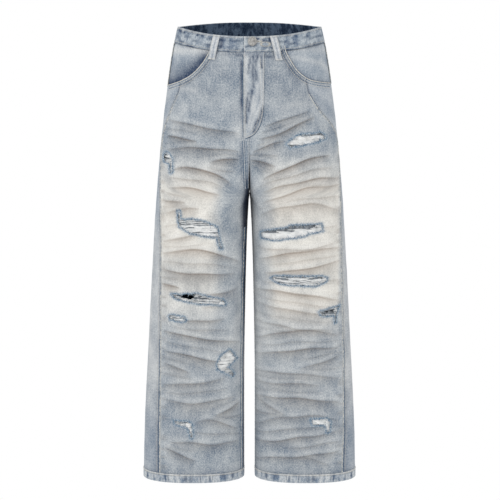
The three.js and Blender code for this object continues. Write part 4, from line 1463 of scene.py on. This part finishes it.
# ---------- button ----------
# A tack button: a pressed cap of satin grey metal with a rolled rim and a faintly dished top, on
# a short post that stands through the buttonhole and is riveted to the underlap.
BUTTON_PROFILE = [  # radius and height
    (3.5, -3.0), (3.5, 2.0), (3.9, 2.4), (8.6, 2.4), (9.4, 2.7), (9.9, 3.3), (10.0, 3.9), (9.7, 4.5),
    (9.1, 4.85), (8.4, 4.9), (7.9, 4.7), (7.5, 4.45), (6.9, 4.4), (4.6, 4.55), (2.2, 4.66), (0.0, 4.7),
]
bm = bmesh.new()
verts = [bm.verts.new((r * MM, 0, h * MM)) for r, h in BUTTON_PROFILE]
edges = [bm.edges.new(pair) for pair in zip(verts, verts[1:])]
bmesh.ops.spin(
    bm, geom=verts + edges, cent=(0, 0, 0), axis=(0, 0, 1), angle=2 * math.pi, steps=48, use_merge=True
)
bmesh.ops.remove_doubles(bm, verts=bm.verts, dist=1e-5)
bmesh.ops.holes_fill(bm, edges=[e for e in bm.edges if e.is_boundary], sides=60)
bmesh.ops.recalc_face_normals(bm, faces=bm.faces)
facing_out = Vector(button_normal[0]).to_track_quat("Z", "Y").to_matrix()
bmesh.ops.rotate(bm, verts=bm.verts, cent=(0, 0, 0), matrix=facing_out)
bmesh.ops.translate(bm, verts=bm.verts, vec=Vector(button_place[0] * MM))
for face in bm.faces:
    face.smooth = True
button = new_piece("button_cap", bm)
metal = new_material("satin_button_metal")
tree = metal.node_tree
place = put(tree, "TexCoord", None, 3)
brushed = span_of(tree, noise_of(tree, place, 900, (1, 1, 0.15)), 0.3, 0.7)
worn = span_of(tree, noise_of(tree, place, 240, detail=3.0), 0.4, 0.62)
tint = mixed(tree, worn, srgb(142, 141, 139), srgb(186, 185, 182))
fine = put(tree, "Bump", {"Height": brushed, "Strength": 0.15, "Distance": 0.0002})
roughness = span_of(tree, brushed, 0, 1, 0.42, 0.6)
coat(metal, {"Base Color": tint, "Metallic": 0.6, "Roughness": roughness, "Normal": fine})
button.data.materials.append(metal)
sew(button, ["button"])

# ---------- belt loops ----------
# Five loops of denim folded in three, each sewn down at the band's top edge and below its seam and
# standing clear in between. Their long edges are worn white, with a blue groove between the rows.
LOOPS = {
    "front_right": (-69, -81, True), "front_left": (50, 63, True), "back_right": (-108, -114, False),
    "back_left": (108, 114, False), "back_centre": (0, 0, False),
}
LOOP_PROFILE = [(0.5, 1.1), (4, 1.1), (9, 3.5), (20, 4), (33, 3.6), (40, 1.8), (44, 0.6), (54, 0.6)]
LOOP_WIDTH, LOOP_THICKNESS, LOOP_TOP, LOOP_FOOT = 15, 1.8, 0.5, 54
LOOP_LENGTH = LOOP_FOOT - LOOP_TOP
loop_denim = denim("loop_denim", srgb(140, 154, 170), srgb(222, 225, 227), 0.2)
for name, (top_x, foot_x, in_front) in LOOPS.items():

    def loop_place(s, t, lift=0.0):
        drop = LOOP_TOP + LOOP_LENGTH * t
        x = top_x + (foot_x - top_x) * drop / LOOP_FOOT + (s - 0.5) * LOOP_WIDTH
        rise = along(LOOP_PROFILE, drop) + LOOP_THICKNESS + lift
        return on_halves(x, turn_at(np.abs(x), drop, in_front), drop, rise)[0]

    bm = flat_grid(14, 40)
    s, t = plan_of(bm)
    off = np.abs(s - 0.5) * LOOP_WIDTH
    ridge = bell(off - 5.2, 1.5)
    places = loop_place(s, t, 0.35 * ridge - 0.25 * bell(off, 1.6))
    foot = bell((t - 1) * LOOP_LENGTH, 2.0) + bell(t * LOOP_LENGTH, 1.6)
    ink = 0.75 * bell(off - 7.5, 0.8) + 0.45 * bell(off, 1.3)
    ink = ink * (1 - 0.8 * np.clip(foot, 0, 1))
    shades = shades_of(s, ink=ink, glow=0.45 * ridge + 0.75 * foot)
    flat = np.stack([s * LOOP_WIDTH, -t * LOOP_LENGTH], -1)
    piece = finish_cloth(
        f"belt_loop_{name}_cloth", bm, places, flat, shades, [loop_denim, loop_denim],
        LOOP_THICKNESS, 1 if in_front else -1,
    )
    sew(piece, ["belt_loop_" + name], "folded")

    def sewn(s, t, lift):
        """A line of thread on the loop, with the way out from it."""
        path = loop_place(s, t, lift)
        return path, path - loop_place(s, t, lift - 1)

    down, across = np.linspace(0.02, 0.98, 60), np.linspace(0.06, 0.94, 20)
    tacks = stitches([sewn(0.5 + shift / LOOP_WIDTH, down, 0.45) for shift in (-5.2, 5.2)], 3.2)
    for t_at in (0.05, 0.955):
        tacks += stitches([sewn(across, np.full(20, t_at), 0.3)], 1.1, 1.6)
    strands(f"belt_loop_{name}_stitches", tacks, topstitch, radius=0.42)

# ---------- hems ----------
# Each leg ends in a hem turned up twice and chain-stitched, so it has twisted in the wash: slanting
# ropes of worn white and held blue all the way round, under one bold row of thread.
HEM_TOP, HEM_FOOT = 1000, 1020
hem_denim = denim("hem_denim", srgb(104, 124, 148), srgb(216, 220, 221), 0.45)
for hand, side in SIDES.items():
    cut = Cut(hand, -1.0, 1.0, (HEM_TOP, HEM_FOOT))
    bm = flat_grid(240, 12)
    s, t = plan_of(bm)
    turn, drop, across, width = cut.lay(s, t)
    angle = 2 * np.pi * s
    wander = 5 * np.sin(5 * angle) + 3 * np.sin(17 * angle) + 1.2 * np.sin(41 * angle)
    rope = np.sin(52 * angle + wander + 2.2 * t) * (0.65 + 0.35 * np.sin(23 * angle + 1))
    places = cloth(hand, turn, drop, 0.7 + 0.45 * rope * np.sin(np.pi * t) ** 0.5)[0]
    held = np.clip(-rope + 0.4 * half_waves(angle * 12, 1, 0.37), 0, 1)
    ink = 0.66 * held * np.sin(np.pi * np.clip(t, 0.12, 0.9)) + 0.45 * bell(t - 0.17, 0.05)
    glow = 0.55 * np.clip(rope - 0.1, 0, 1) + 0.85 * bell(t - 0.05, 0.055)
    shades = shades_of(s, ink=ink, glow=glow)
    flat = np.stack([across, -drop], -1)
    piece = finish_cloth(
        f"hem_{side}_cloth", bm, places, flat, shades, [hem_denim, shaded_inside_denim], 3, hand, ring=True
    )
    sew(piece, ["hem_" + side], "folded")
    row = cloth(hand, np.linspace(-0.995, 0.995, 240), np.full(240, HEM_TOP + 2.5), 1.15)[:2]
    strands(f"hem_{side}_stitches", stitches([row], 3.6, 0.85), topstitch, radius=0.5)
